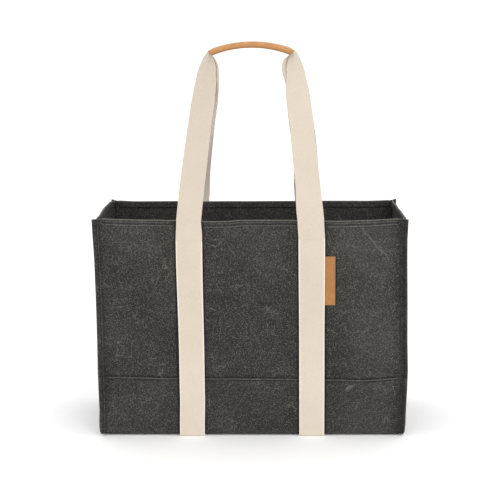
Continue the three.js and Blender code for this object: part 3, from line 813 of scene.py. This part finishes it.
def strap_on_wall(face, side, z):
    """Middle of a strap at a height of the wall, and the direction to its inner edge."""
    x = side * (STRAP_X - STRAP_DRAW * smooth(z, DRAW_START, HEIGHT))
    if face == BACK:
        x += REAR_LEAN * smooth(z, HEIGHT - 50.0, HEIGHT)
    elif side == LEFT:
        x += swell(z, LEFT_DRIFT)
    lift = tab_lift(face, side, z)
    layer = STRAP_LAYER + lap_layer(z, STRAP_RAMP)
    place = np.array([x, face * (wall_out(face, x, z) + layer + lift / 2), z])
    rise = wall_bow(x - side, z) - wall_bow(x + side, z)
    across = unit(np.array([-2.0 * side, face * rise, 0.0]))
    across[1] -= face * lift / STRAP_WIDTH
    return place, unit(across)


def face_stations(face, side):
    x = side * STRAP_X
    inward = np.array([-side, 0.0, 0.0])
    bend_y = face * (DEPTH / 2 + CANVAS / 2)
    bend_z = BASE_Z - CANVAS / 2
    bend_radius = GAP + STRAP_THICKNESS / 2
    bend_steps = 6
    stations = []
    for y in np.linspace(face * GAP / 2, bend_y, 16)[:-1]:
        stations.append((np.array([x, y, STRAP_THICKNESS / 2]), inward, None))
    for k in range(bend_steps + 1):
        turn = k / bend_steps * math.pi / 2
        y = bend_y + face * bend_radius * math.sin(turn)
        stations.append((np.array([x, y, bend_z - bend_radius * math.cos(turn)]), inward, None))
    return stations + [(*strap_on_wall(face, side, z), None) for z in np.linspace(8.0, HEIGHT, 106)]


def arch_station(turn):
    place = np.array([ARCH_RADIUS * math.sin(turn), 0.0, ARCH_CENTRE_Z + ARCH_RADIUS * math.cos(turn)])
    return place, ARCH_TWIST * (turn / END_ANGLE) ** 2


def twist_at(z):
    """Degrees by which a strap has turned to face the front, below the bend at the grip."""
    drop = END_Z - z
    left = TWIST_QUICK * math.exp(-drop / TWIST_FIRST)
    left += (1.0 - TWIST_QUICK) * math.exp(-drop / TWIST_LATER)
    return 90.0 - (90.0 - ARCH_TWIST) * left * (1.0 - smooth(drop, *TWIST_END))


def leg_x(face, top, down):
    straight = top + (STRAP_DRAW - STRAP_X - top) * down * smooth(down, 0.02, 0.13)
    return straight if face == FRONT else straight - swell(down, REAR_ARC)


def rear_shift(side, drop):
    """How far the back strap stands inwards along its own width, and to the right, below the bend."""
    lean = profile(drop, REAR_SWAY) + REAR_LEAN * smooth(drop, 110.0, 215.0)
    if side == RIGHT:
        lean += swell(drop, REAR_TUCK)
    return swell(drop, REAR_INWARDS[side]), lean


def twisted_width(heading, twist):
    angle = math.radians(twist)
    return unit(TO_FRONT * math.cos(angle) + np.cross(heading, TO_FRONT) * math.sin(angle))


def handle_line(face):
    """The handles' middle line as one strap follows it: place, twist and the straps' parting."""
    shoulder_x = -ARCH_HALF_SPAN + SHOULDER_RADIUS * math.sin(END_ANGLE)
    shoulder_z = END_Z - SHOULDER_RADIUS * math.cos(END_ANGLE)
    leg_steps, shoulder_steps, arch_steps = 66, 8, 30
    half = []
    for k in range(1, leg_steps):
        down = (1 - k / leg_steps) ** 1.5
        z = shoulder_z + (HEIGHT - shoulder_z) * down
        x = leg_x(face, shoulder_x - SHOULDER_RADIUS, down)
        half.append((np.array([x, 0.0, z]), twist_at(z), smooth(down, PART_START, 1.0)))
    for k in range(shoulder_steps):
        turn = math.pi / 2 + (END_ANGLE - math.pi / 2) * k / shoulder_steps
        x = shoulder_x - SHOULDER_RADIUS * math.sin(turn)
        z = shoulder_z + SHOULDER_RADIUS * math.cos(turn)
        half.append((np.array([x, 0.0, z]), twist_at(z), 0.0))
    for k in range(-1, arch_steps + 1):
        place, twist = arch_station(-END_ANGLE if k < 0 else -GRIP_ANGLE * (1 - k / arch_steps))
        half.append((place, twist, 0.0))
    mirror = np.array([-1.0, 1.0, 1.0])
    return half + [(station[0] * mirror, *station[1:]) for station in reversed(half[:-1])]


def handle_stations(face):
    line = handle_line(face)
    reach = DEPTH / 2 + wall_bow(STRAP_X, HEIGHT) + STRAP_LAYER - PAIR_OFFSET - PAIR_SPREAD
    stations = []
    for k, (place, twist, part) in enumerate(line):
        before, _, part_before = line[max(k - 1, 0)]
        after, _, part_after = line[min(k + 1, len(line) - 1)]
        heading = unit(after - before)
        across = twisted_width(heading, twist)
        drop = END_Z - place[2]
        spread = PAIR_SPREAD * smooth(drop, 0.0, SPREAD_DROP)
        middle = place - face * (PAIR_OFFSET + spread) * np.cross(across, heading)
        tilt = ARCH_LEAN * (1.0 - smooth(drop, 0.0, LEAN_END))
        if place[0] > 0:
            tilt -= swell(drop, RIGHT_PULL)
        middle = middle + np.array([tilt, face * part * reach, 0.0])
        if face == BACK:
            inwards, lean = rear_shift(math.copysign(1, place[0]), drop)
            middle = middle + across * inwards + np.array([lean, 0.0, 0.0])
        own = after - before + np.array([0.0, face * (part_after - part_before) * reach, 0.0])
        stations.append((middle, across, unit(own)))
    return stations


def strap_frames(face):
    """Middle, inner-edge direction, outward side and distance along the strap at each station."""
    stations = face_stations(face, LEFT) + handle_stations(face)
    stations += reversed(face_stations(face, RIGHT))
    frames = []
    distance = 0.0
    for k, (place, across, heading) in enumerate(stations):
        before = stations[max(k - 1, 0)][0]
        after = stations[min(k + 1, len(stations) - 1)][0]
        if heading is None:
            heading = unit(after - before)
        across = unit(across - heading * np.dot(across, heading))
        distance += np.linalg.norm(place - before)
        frames.append((place, across, np.cross(across, heading), distance))
    return frames


# Across a strap: rounded selvages and a flat middle
STRAP_EDGE = [(0.0, 1.0), (0.38, 0.92), (0.71, 0.71), (0.92, 0.38), (1.0, 0.0)]
STRAP_FLAT = [-18.1, -17.4, -16.8, -16.2, -15.6, -14.8, -12.0, -8.0, -4.0, 0.0]
STRAP_FLAT += [-place for place in reversed(STRAP_FLAT[:-1])]
SELVAGE = 0.6


def strap_section():
    half_w, half_t = STRAP_WIDTH / 2, STRAP_THICKNESS / 2
    edge = [(half_w - SELVAGE + SELVAGE * a, half_t - SELVAGE + SELVAGE * b) for a, b in STRAP_EDGE]
    half = [(a, half_t) for a in STRAP_FLAT]
    half += edge + [(a, -b) for a, b in reversed(edge)]
    return np.array(half + [(-a, -b) for a, b in half])


def anchor_row(face, x):
    return ANCHOR_Z + ANCHOR_RISE * (face == FRONT and x > 0)


def strap_piece(name, face, material):
    section = strap_section()
    across, out = section.T
    outer = (out > 0.5) if face == FRONT else (out < -0.5)
    between_rows = (np.abs(across) < STRAP_STITCH) * outer
    frames = strap_frames(face)
    points, uvs, wear = [], [], []
    for place, inner_edge, normal, distance in frames:
        z = place[2]
        drop = END_Z - z
        side = LEFT if place[0] < 0 else RIGHT
        anchor = anchor_row(face, place[0])
        sewn = 1.0 - smooth(z, anchor - 2.0, anchor + 2.0)
        on_row = bump(z, anchor, 1.2) * between_rows
        groove = STRAP_GROOVE * bump(np.abs(across), STRAP_STITCH, 0.6) * sewn * outer
        lift = out - np.sign(out) * (groove + ROW_DENT * on_row)
        wide = across
        pale = bump(np.abs(across), STRAP_WIDTH / 2, 1.2) * (LOOSE_PALE + (1.0 - LOOSE_PALE) * sewn)
        if face == FRONT:
            narrow = swell(z, LEG_NARROW[side]) - swell(drop, LEG_SPREAD) * (side == LEFT)
            slim = 1.0 - SEWN_SLIM * (1.0 - smooth(z, 150.0, 300.0))
            wide = across * slim - narrow * smooth(across, 0.0, STRAP_WIDTH / 2)
        else:
            # Painted light on the back strap's inner half, low on its left leg, less some painted shade on
            # both legs
            lightening = REAR_LIGHT * smooth(drop, 15.0, 80.0) * (side == LEFT) - REAR_SHADE
            pale = pale + lightening * smooth(across, 0.0, 11.0) * (1.0 - sewn)
        points.append(place + inner_edge * wide[:, None] + normal * lift[:, None])
        uvs.append(in_columns(across, distance))
        # Painted shade under the ends of the grip, on the inner half of each strap
        shade = bump(drop, 3.0, 9.0) * smooth(across, -6.0, 12.0)
        wear.append(pale - shade - ROW_SHADE * on_row)
    count = len(section)
    rings = len(frames)
    faces = [[b, a, d, c] for a, b, c, d in ring_quads(rings, count)]
    faces.append(list(range(count)))
    faces.append(list(reversed(range((rings - 1) * count, rings * count))))
    points, uvs, wear = (np.concatenate(values) for values in (points, uvs, wear))
    return make_piece(name, points, faces, uvs, material, wear)


def strap_stitch(face, side, edge, z, heading):
    place, across = strap_on_wall(face, side, z)
    out = np.array([-across[1], across[0], 0.0])
    out = out * math.copysign(1.0, face * out[1])
    return place + across * edge + out * (STRAP_THICKNESS / 2 - 0.12), heading, out


def strap_stitches(face):
    stitches = []
    for side in (LEFT, RIGHT):
        top = anchor_row(face, side)
        for edge in (-STRAP_STITCH, STRAP_STITCH):
            stitches += [strap_stitch(face, side, edge, z, UP) for z in spaced(9.0, top)]
        row = spaced(-STRAP_STITCH, STRAP_STITCH, ROW_PITCH)
        stitches += [strap_stitch(face, side, edge, top, ALONG_X) for edge in row]
    return stitches


# The leather grip: a sleeve round both straps, with rounded edges
GRIP_INNER = (STRAP_WIDTH / 2 + 1.5 * GAP, PAIR_OFFSET + STRAP_THICKNESS / 2 + 1.5 * GAP)
GRIP_OUTER = (GRIP_INNER[0] + LEATHER, GRIP_INNER[1] + LEATHER + GRIP_PUFF)
GRIP_INNER_ROUND = 1.2
GRIP_EDGE_ROUND = 0.7
UNDER_SHIFT = 30.0  # sets the pattern of the underside apart from the top's


def arch_point(turn, across, up):
    place, twist = arch_station(turn)
    heading = np.array([math.cos(turn), 0.0, -math.sin(turn)])
    width = twisted_width(heading, twist)
    return place + width * across + np.cross(width, heading) * up + np.array([ARCH_LEAN, 0.0, 0.0])


def grip_section(half_width, half_height, radius, steps=6):
    ring = []
    for corner in range(4):
        middle_w = (half_width - radius) * (1 if corner in (0, 3) else -1)
        sign_n = 1 if corner < 2 else -1
        for k in range(steps + 1):
            turn = (corner + k / steps) * math.pi / 2
            up = sign_n * (half_height - radius) + radius * math.sin(turn)
            ring.append((middle_w + radius * math.cos(turn), up))
        if corner in (0, 2):
            shares = (0.15, 0.3, 0.5, 0.7, 0.85)
            ring += [(middle_w * (1 - 2 * share), sign_n * half_height) for share in shares]
    return ring


def grip_piece(name, material):
    half_w, half_h = GRIP_OUTER
    outer = grip_section(half_w, half_h, GRIP_ROUND)
    inner = grip_section(*GRIP_INNER, GRIP_INNER_ROUND)
    shares = np.linspace(-1.0, 1.0, 61)

    # Outer skin from the left end to the right one, over the rounded lip, and back along the inside
    lip = [(outer, 0.1, 0.3), (outer, 0.4, 0.0), (inner, -0.4, 0.0), (inner, 0.0, 0.3)]
    rings = [(-1.0, *ring) for ring in reversed(lip)]
    rings += [(share, outer, 0.0, GRIP_EDGE_ROUND) for share in shares]
    rings += [(1.0, *ring) for ring in lip]
    rings += [(share, inner, 0.0, GRIP_EDGE_ROUND) for share in reversed(shares)]
    points, uvs, wear = [], [], []
    for share, section, inset, shorten in rings:
        near_end = bump(abs(share), 1.0, 0.025)
        for across, up in section:
            longer = GRIP_SKEW * across / half_w + GRIP_LIP * up / half_h - shorten
            turn = share * (GRIP_ANGLE + longer / ARCH_RADIUS)
            inwards = 1 - inset / math.hypot(across, up)
            points.append(arch_point(turn, across * inwards, up * inwards))
            uvs.append((across + (UNDER_SHIFT if up < 0 else 0.0), turn * ARCH_RADIUS))
            # Darker along the burnished side edges; painted shade on the underside and at the cut ends
            side_edge = 0.4 * smooth(abs(across), half_w - 5.0, half_w - 0.5)
            wear.append(max(side_edge, near_end, smooth(-up, -1.5, 2.5)))
    return make_piece(name, points, ring_quads(len(rings), len(outer), closed=True), uvs, material, wear)


# The leather tab, with its inner edge under the strap
TAB_EDGE_STEPS = [0.45, 0.9, 1.5, 2.0, 2.4, 2.8, 3.3]
TAB_EDGE_WEAR = 0.7


def tab_piece(name, material):
    start = STRAP_X + STRAP_WIDTH / 2 - TAB_TUCK
    end = start + TAB_TUCK + TAB_REACH
    xs = [start + 0.3, *np.linspace(start + 2.0, end - 4.5, 8)]
    xs = np.array(xs + [end - value for value in reversed(TAB_EDGE_STEPS)])
    zs = [TAB_BOTTOM + value for value in TAB_EDGE_STEPS]
    zs += [*np.linspace(TAB_BOTTOM + 5.0, TAB_TOP - 5.0, 26)]
    zs += [TAB_TOP - value for value in reversed(TAB_EDGE_STEPS)]
    layer = CANVAS / 2 + GAP + TAB_THICKNESS / 2
    half = TAB_THICKNESS / 2
    rows = []
    for z in zs:
        place = in_columns(xs, -(wall_out(FRONT, xs, z) + layer), z)
        to_edge = np.minimum(end - xs, min(z - TAB_BOTTOM, TAB_TOP - z))
        outer = half + profile(to_edge, TAB_RELIEF)
        tone_shift = profile(to_edge, TAB_WEAR)
        rows.append(cloth_row(place, (xs, z), outer, tone_shift, half, edge=TAB_EDGE_WEAR, roundness=TAB_ROUND))
    return thick_sheet(name, [rows], material)


# Materials
def linear(red, green, blue):
    """Shader colour from the 0 to 255 values that a screen shows."""
    values = []
    for channel in (red, green, blue):
        share = channel / 255
        values.append(share / 12.92 if share <= 0.04045 else ((share + 0.055) / 1.055) ** 2.4)
    return (*values, 1.0)


class Look:
    """A material's node tree, with short ways to add and join nodes."""

    def __init__(self, name):
        self.material = bpy.data.materials.new(name)
        self.material.use_nodes = True
        self.tree = self.material.node_tree
        self.surface = self.tree.nodes["Principled BSDF"]
        self.uv = self.add("ShaderNodeUVMap", uv_map="UVMap").outputs["UV"]
        self.wear = self.add("ShaderNodeAttribute", attribute_name="wear").outputs["Fac"]
        self.colour = None
        self.normal = None

    def add(self, kind, inputs=(), **settings):
        node = self.tree.nodes.new(kind)
        for key, value in settings.items():
            setattr(node, key, value)
        for key, value in dict(inputs).items():
            self.feed(node.inputs[key], value)
        return node

    def feed(self, socket, value):
        if isinstance(value, bpy.types.NodeSocket):
            self.tree.links.new(value, socket)
        else:
            socket.default_value = value

    def noise(self, scale, detail=2.0, roughness=0.5, vector=None):
        inputs = {"Vector": vector or self.uv, "Scale": scale, "Detail": detail, "Roughness": roughness}
        return self.add("ShaderNodeTexNoise", inputs).outputs[0]

    def cells(self, scale, vector=None, feature="F1"):
        inputs = {"Vector": vector or self.uv, "Scale": scale}
        return self.add("ShaderNodeTexVoronoi", inputs, feature=feature).outputs

    def stretched(self, across, along):
        mapping = self.add("ShaderNodeMapping", {"Vector": self.uv, "Scale": (across, along, 1.0)})
        return mapping.outputs["Vector"]

    def wandering(self, scale, reach):
        """The place on the cloth, moved to and fro by up to reach, in metres."""
        inputs = {"Vector": self.uv, "Scale": scale, "Detail": 3.0}
        shaken = self.add("ShaderNodeTexNoise", inputs).outputs["Color"]
        inputs = {0: shaken, 1: (reach, reach, 0.0), 2: self.uv}
        return self.add("ShaderNodeVectorMath", inputs, operation="MULTIPLY_ADD").outputs[0]

    def parts(self, vector):
        node = self.add("ShaderNodeSeparateXYZ", {"Vector": vector})
        return node.outputs["X"], node.outputs["Y"]

    def maths(self, operation, first, second=0.0):
        return self.add("ShaderNodeMath", {0: first, 1: second}, operation=operation).outputs[0]

    def times(self, first, second):
        return self.maths("MULTIPLY", first, second)

    def wave(self, value, pitch):
        return self.maths("SINE", self.times(value, 2 * math.pi / pitch))

    def ramp(self, value, low, high, to_low=0.0, to_high=1.0):
        inputs = {"Value": value, "From Min": low, "From Max": high, "To Min": to_low, "To Max": to_high}
        return self.add("ShaderNodeMapRange", inputs).outputs["Result"]

    def mix(self, share, first, second):
        return self.add("ShaderNodeMix", {0: share, 6: first, 7: second}, data_type="RGBA").outputs[2]

    def ground(self, share, first, second):
        """Starts the colour, which goes from first to second."""
        self.colour = self.mix(share, linear(*first), linear(*second))

    def tint(self, share, colour):
        self.colour = self.mix(share, self.colour, linear(*colour))

    def relief(self, height, strength, distance):
        inputs = {"Height": height, "Strength": strength, "Distance": distance}
        if self.normal is not None:
            inputs["Normal"] = self.normal
        self.normal = self.add("ShaderNodeBump", inputs).outputs["Normal"]

    def finish(self, roughness, **settings):
        self.feed(self.surface.inputs["Base Color"], self.colour)
        self.feed(self.surface.inputs["Normal"], self.normal)
        self.feed(self.surface.inputs["Roughness"], roughness)
        for key, value in settings.items():
            self.surface.inputs[key.replace("_", " ")].default_value = value
        return self.material


def cracks(look, scale, width, wander, mask_scale, low, high):
    """Thin branching lines, where the wax has cracked along small folds."""
    net = look.cells(scale, look.wandering(1.6 * scale, wander / scale), "DISTANCE_TO_EDGE")
    line = look.ramp(net["Distance"], 0.0, width * scale * MM, 1.0, 0.0)
    return look.times(line, look.ramp(look.noise(mask_scale, 2.5), low, high))


def fold_mark(look, start, end, reach, wander=0.012):
    """One pale line along a fold, between two places in millimetres on the front wall."""
    x, y = look.parts(look.wandering(45.0, wander))
    x = look.maths("SUBTRACT", x, start[0] * MM + wander / 2)
    y = look.maths("SUBTRACT", y, start[1] * MM + wander / 2)
    step = (np.array(end) - np.array(start)) * MM
    length = float(np.linalg.norm(step))
    along_x, along_y = step / length
    along = look.maths("ADD", look.times(x, along_x), look.times(y, along_y))
    beside = look.maths("SUBTRACT", look.times(x, along_y), look.times(y, along_x))
    line = look.ramp(look.maths("ABSOLUTE", beside), 0.0, reach * MM, 1.0, 0.0)
    within = look.times(look.ramp(along, 0.0, 0.008), look.ramp(along, length - 0.015, length, 1.0, 0.0))
    return look.times(line, within)


def canvas_material():
    look = Look("waxed_canvas")
    broad = look.noise(11.0, 3.0, 0.55)
    cloudy = look.noise(42.0, 2.0, 0.5)
    grain = look.noise(520.0, 2.0, 0.75)
    cells = look.cells(660.0)
    lucky, _ = look.parts(cells["Color"])
    dots = look.ramp(cells["Distance"], 0.05, 0.45, 1.0, 0.0)
    yarn = look.times(dots, look.ramp(lucky, 0.1, 1.0, 0.2, 1.0))
    look.ground(look.ramp(broad, 0.34, 0.66), (38, 36, 34), (62, 60, 57))
    look.tint(look.ramp(cloudy, 0.4, 0.7, 0.0, 0.15), (64, 61, 57))
    look.tint(look.ramp(dots, 0.0, 0.4, 0.6, 0.0), (24, 23, 22))
    look.tint(look.times(yarn, 0.95), (125, 122, 117))
    fine = cracks(look, scale=110.0, width=0.36, wander=0.8, mask_scale=30.0, low=0.55, high=0.72)
    coarse = cracks(look, scale=52.0, width=0.42, wander=0.8, mask_scale=34.0, low=0.5, high=0.62)
    fold = look.times(fold_mark(look, (156.0, 314.0), (203.0, 258.0), 2.0), 0.55)
    line = look.maths("MAXIMUM", look.maths("MAXIMUM", fine, coarse), fold)
    look.tint(look.times(line, 0.5), (124, 119, 112))

    # Pale from rubbing where the field is above 0, and painted shade where it is below: creases, stitch
    # grooves, fins, under edges and beside the straps and the tab
    lightening = look.times(look.ramp(look.wear, 0.0, 1.0), look.ramp(grain, 0.3, 0.6, 0.6, 1.0))
    look.tint(look.times(lightening, 0.85), (132, 126, 117))
    look.tint(look.ramp(look.wear, -1.0, 0.0, 0.95, 0.0), (18, 17, 16))

    # A plain weave, over and under along both directions
    x, y = look.parts(look.uv)
    look.relief(look.times(look.wave(x, 0.0013), look.wave(y, 0.0013)), 0.25, 0.0002)
    look.relief(yarn, 0.3, 0.0003)
    look.relief(look.maths("ADD", cloudy, line), 0.25, 0.0012)
    return look.finish(look.ramp(cloudy, 0.3, 0.7, 0.72, 0.9), Specular_IOR_Level=0.3)


HANDLE_MIDDLE = 0.7374  # distance along a strap to the crown of its handle, in metres
PALE_CREAM = (248, 239, 226)
SHADED_CREAM = (188, 175, 158)


def webbing_material():
    look = Look("cotton_webbing")
    x, y = look.parts(look.uv)
    twill = look.wave(look.maths("ADD", x, y), 0.0028)
    yarn = look.noise(1.0, 2.0, 0.6, look.stretched(260.0, 900.0))
    cloudy = look.noise(24.0, 3.0, 0.55)
    look.ground(look.ramp(cloudy, 0.35, 0.65), (210, 198, 183), (213, 202, 187))
    look.tint(look.ramp(twill, -1.0, 0.2, 0.08, 0.0), (190, 176, 158))
    look.tint(look.ramp(yarn, 0.35, 0.55, 0.08, 0.0), (192, 178, 160))

    # Painted shade above the middle of the walls, most on the left leg, and painted light below it
    along = look.maths("SUBTRACT", y, HANDLE_MIDDLE)
    from_crown = look.maths("ABSOLUTE", along)
    look.tint(look.ramp(from_crown, 0.45, 0.56, 0.32, 0.0), SHADED_CREAM)
    left_leg = look.ramp(along, -0.36, -0.28, 0.0, 0.2)
    look.tint(look.times(left_leg, look.ramp(along, -0.14, -0.06, 1.0, 0.0)), SHADED_CREAM)
    look.tint(look.ramp(from_crown, 0.53, 0.63, 0.0, 0.08), PALE_CREAM)
    # Pale selvages, and painted light on the back strap's inner half
    look.tint(look.ramp(look.wear, 0.0, 1.0, 0.0, 0.9), PALE_CREAM)
    # Painted shade below 0: under the grip's ends and along the row of stitches
    look.tint(look.ramp(look.wear, -1.0, 0.0, 0.4, 0.0), (170, 152, 130))
    look.relief(twill, 0.35, 0.0004)
    look.relief(look.wave(y, 0.0014), 0.2, 0.0002)
    look.relief(yarn, 0.3, 0.0004)
    return look.finish(0.88, Specular_IOR_Level=0.2, Sheen_Weight=0.08)


def leather_material(name, dark, light, edge):
    look = Look(name)
    cloudy = look.noise(60.0, 4.0, 0.6)
    streak = look.noise(1.0, 3.0, 0.6, look.stretched(420.0, 60.0))
    mottled = look.noise(380.0, 2.0, 0.7)
    look.ground(look.ramp(cloudy, 0.32, 0.68), dark, light)
    look.tint(look.ramp(streak, 0.5, 0.72, 0.0, 0.35), edge)
    look.tint(look.ramp(mottled, 0.34, 0.54, 0.4, 0.0), edge)
    # Darker by the field: burnished edges, and painted shade on the grip's underside and ends
    look.tint(look.times(look.wear, 0.7), edge)
    look.relief(look.cells(900.0)["Distance"], 0.3, 0.0002)
    look.relief(cloudy, 0.2, 0.0006)
    return look.finish(look.ramp(cloudy, 0.3, 0.7, 0.5, 0.66), Specular_IOR_Level=0.4)


def thread_material(name, dark, light):
    look = Look(name)
    twist = look.noise(1.0, 1.0, 0.5, look.stretched(1500.0, 300.0))
    look.ground(look.ramp(twist, 0.35, 0.65), dark, light)
    look.relief(twist, 0.4, 0.0002)
    return look.finish(0.8, Specular_IOR_Level=0.3)


canvas = canvas_material()
webbing = webbing_material()
grip_leather = leather_material("grip_leather_look", (191, 140, 87), (207, 157, 102), (150, 98, 50))
tab_leather = leather_material("tab_leather_look", (156, 107, 55), (170, 119, 64), (136, 90, 46))
dark_thread = thread_material("dark_thread", (34, 33, 31), (52, 50, 47))
cream_thread = thread_material("cream_thread", (214, 198, 178), (232, 220, 204))


# The pieces
def canvas_piece(piece, node, lines):
    stitches = stitch_rows(piece.name.replace("_cloth", "_stitches"), lines, dark_thread)
    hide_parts(node)
    return stitches


for which, face in FACES:
    panel = wall_panel(f"{which}_panel_cloth", face, canvas)
    sewn = canvas_piece(panel, f"{which}_panel", wall_stitches(face))
for which, side in (("left", LEFT), ("right", RIGHT)):
    gusset = side_panel(f"{which}_gusset_cloth", side, canvas)
    sewn = canvas_piece(gusset, f"{which}_gusset", side_stitches(side))
base = base_panel("base_panel_cloth", canvas)
sewn = canvas_piece(base, "base_panel", base_stitches())
for which, face in FACES:
    strap = strap_piece(f"{which}_strap_webbing", face, webbing)
    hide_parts(f"{which}_strap")
    strap_sewn = stitch_rows(f"{which}_strap_stitches", strap_stitches(face), cream_thread, 3.0, 0.34)
grip = grip_piece("grip_sleeve", grip_leather)
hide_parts("grip")
tab = tab_piece("side_tab", tab_leather)
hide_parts("tab")

# Floor, light and camera, in metres and degrees
FLOOR_HALF = 30.0
WORLD_STRENGTH = 1.2
KEY_PLACE = (1.0, -2.2, 2.0)
KEY_TARGET = (0.0, 0.0, 0.2)
KEY_SIZE = 1.6
KEY_POWER = 16.0
CAMERA_PLACE = (0.0517, -1.8557, 0.619)
CAMERA_HEADING = 1.691
CAMERA_TILT = 79.608
CAMERA_ROLL = -0.533
CAMERA_LENS = 90.12


def floor_piece():
    mesh = bpy.data.meshes.new("floor")
    corners = [(-1, -1), (1, -1), (1, 1), (-1, 1)]
    mesh.from_pydata([(x * FLOOR_HALF, y * FLOOR_HALF, 0.0) for x, y in corners], [], [[0, 1, 2, 3]])
    floor = put_in_scene("floor", mesh)
    material = bpy.data.materials.new("floor_white")
    material.use_nodes = True
    surface = material.node_tree.nodes["Principled BSDF"]
    surface.inputs["Base Color"].default_value = (0.98, 0.98, 0.98, 1.0)
    surface.inputs["Roughness"].default_value = 0.9
    surface.inputs["Specular IOR Level"].default_value = 0.0
    mesh.materials.append(material)


def key_light():
    data = bpy.data.lights.new("key", "AREA")
    data.shape = "DISK"
    data.size = KEY_SIZE
    data.energy = KEY_POWER
    light = put_in_scene("key", data)
    x, y, z = np.array(KEY_TARGET) - np.array(KEY_PLACE)
    light.rotation_euler = (math.atan2(math.hypot(x, y), -z), 0.0, math.atan2(-x, y))
    light.location = KEY_PLACE


def white_world():
    world = bpy.data.worlds.new("studio")
    world.use_nodes = True
    background = world.node_tree.nodes["Background"]
    background.inputs["Color"].default_value = (1.0, 1.0, 1.0, 1.0)
    background.inputs["Strength"].default_value = WORLD_STRENGTH
    bpy.context.scene.world = world


def photo_camera():
    data = bpy.data.cameras.new("photo_view")
    data.sensor_width = 36.0
    data.lens = CAMERA_LENS
    camera = put_in_scene("photo_view", data)
    camera.location = CAMERA_PLACE
    turns = ((CAMERA_HEADING, "Z"), (CAMERA_TILT, "X"), (CAMERA_ROLL, "Z"))
    heading, tilt, roll = (Matrix.Rotation(math.radians(angle), 3, axis) for angle, axis in turns)
    camera.rotation_euler = (heading @ tilt @ roll).to_euler()
    bpy.context.scene.camera = camera


floor_piece()
white_world()
key_light()
photo_camera()
bpy.context.scene.view_settings.view_transform = "Standard"
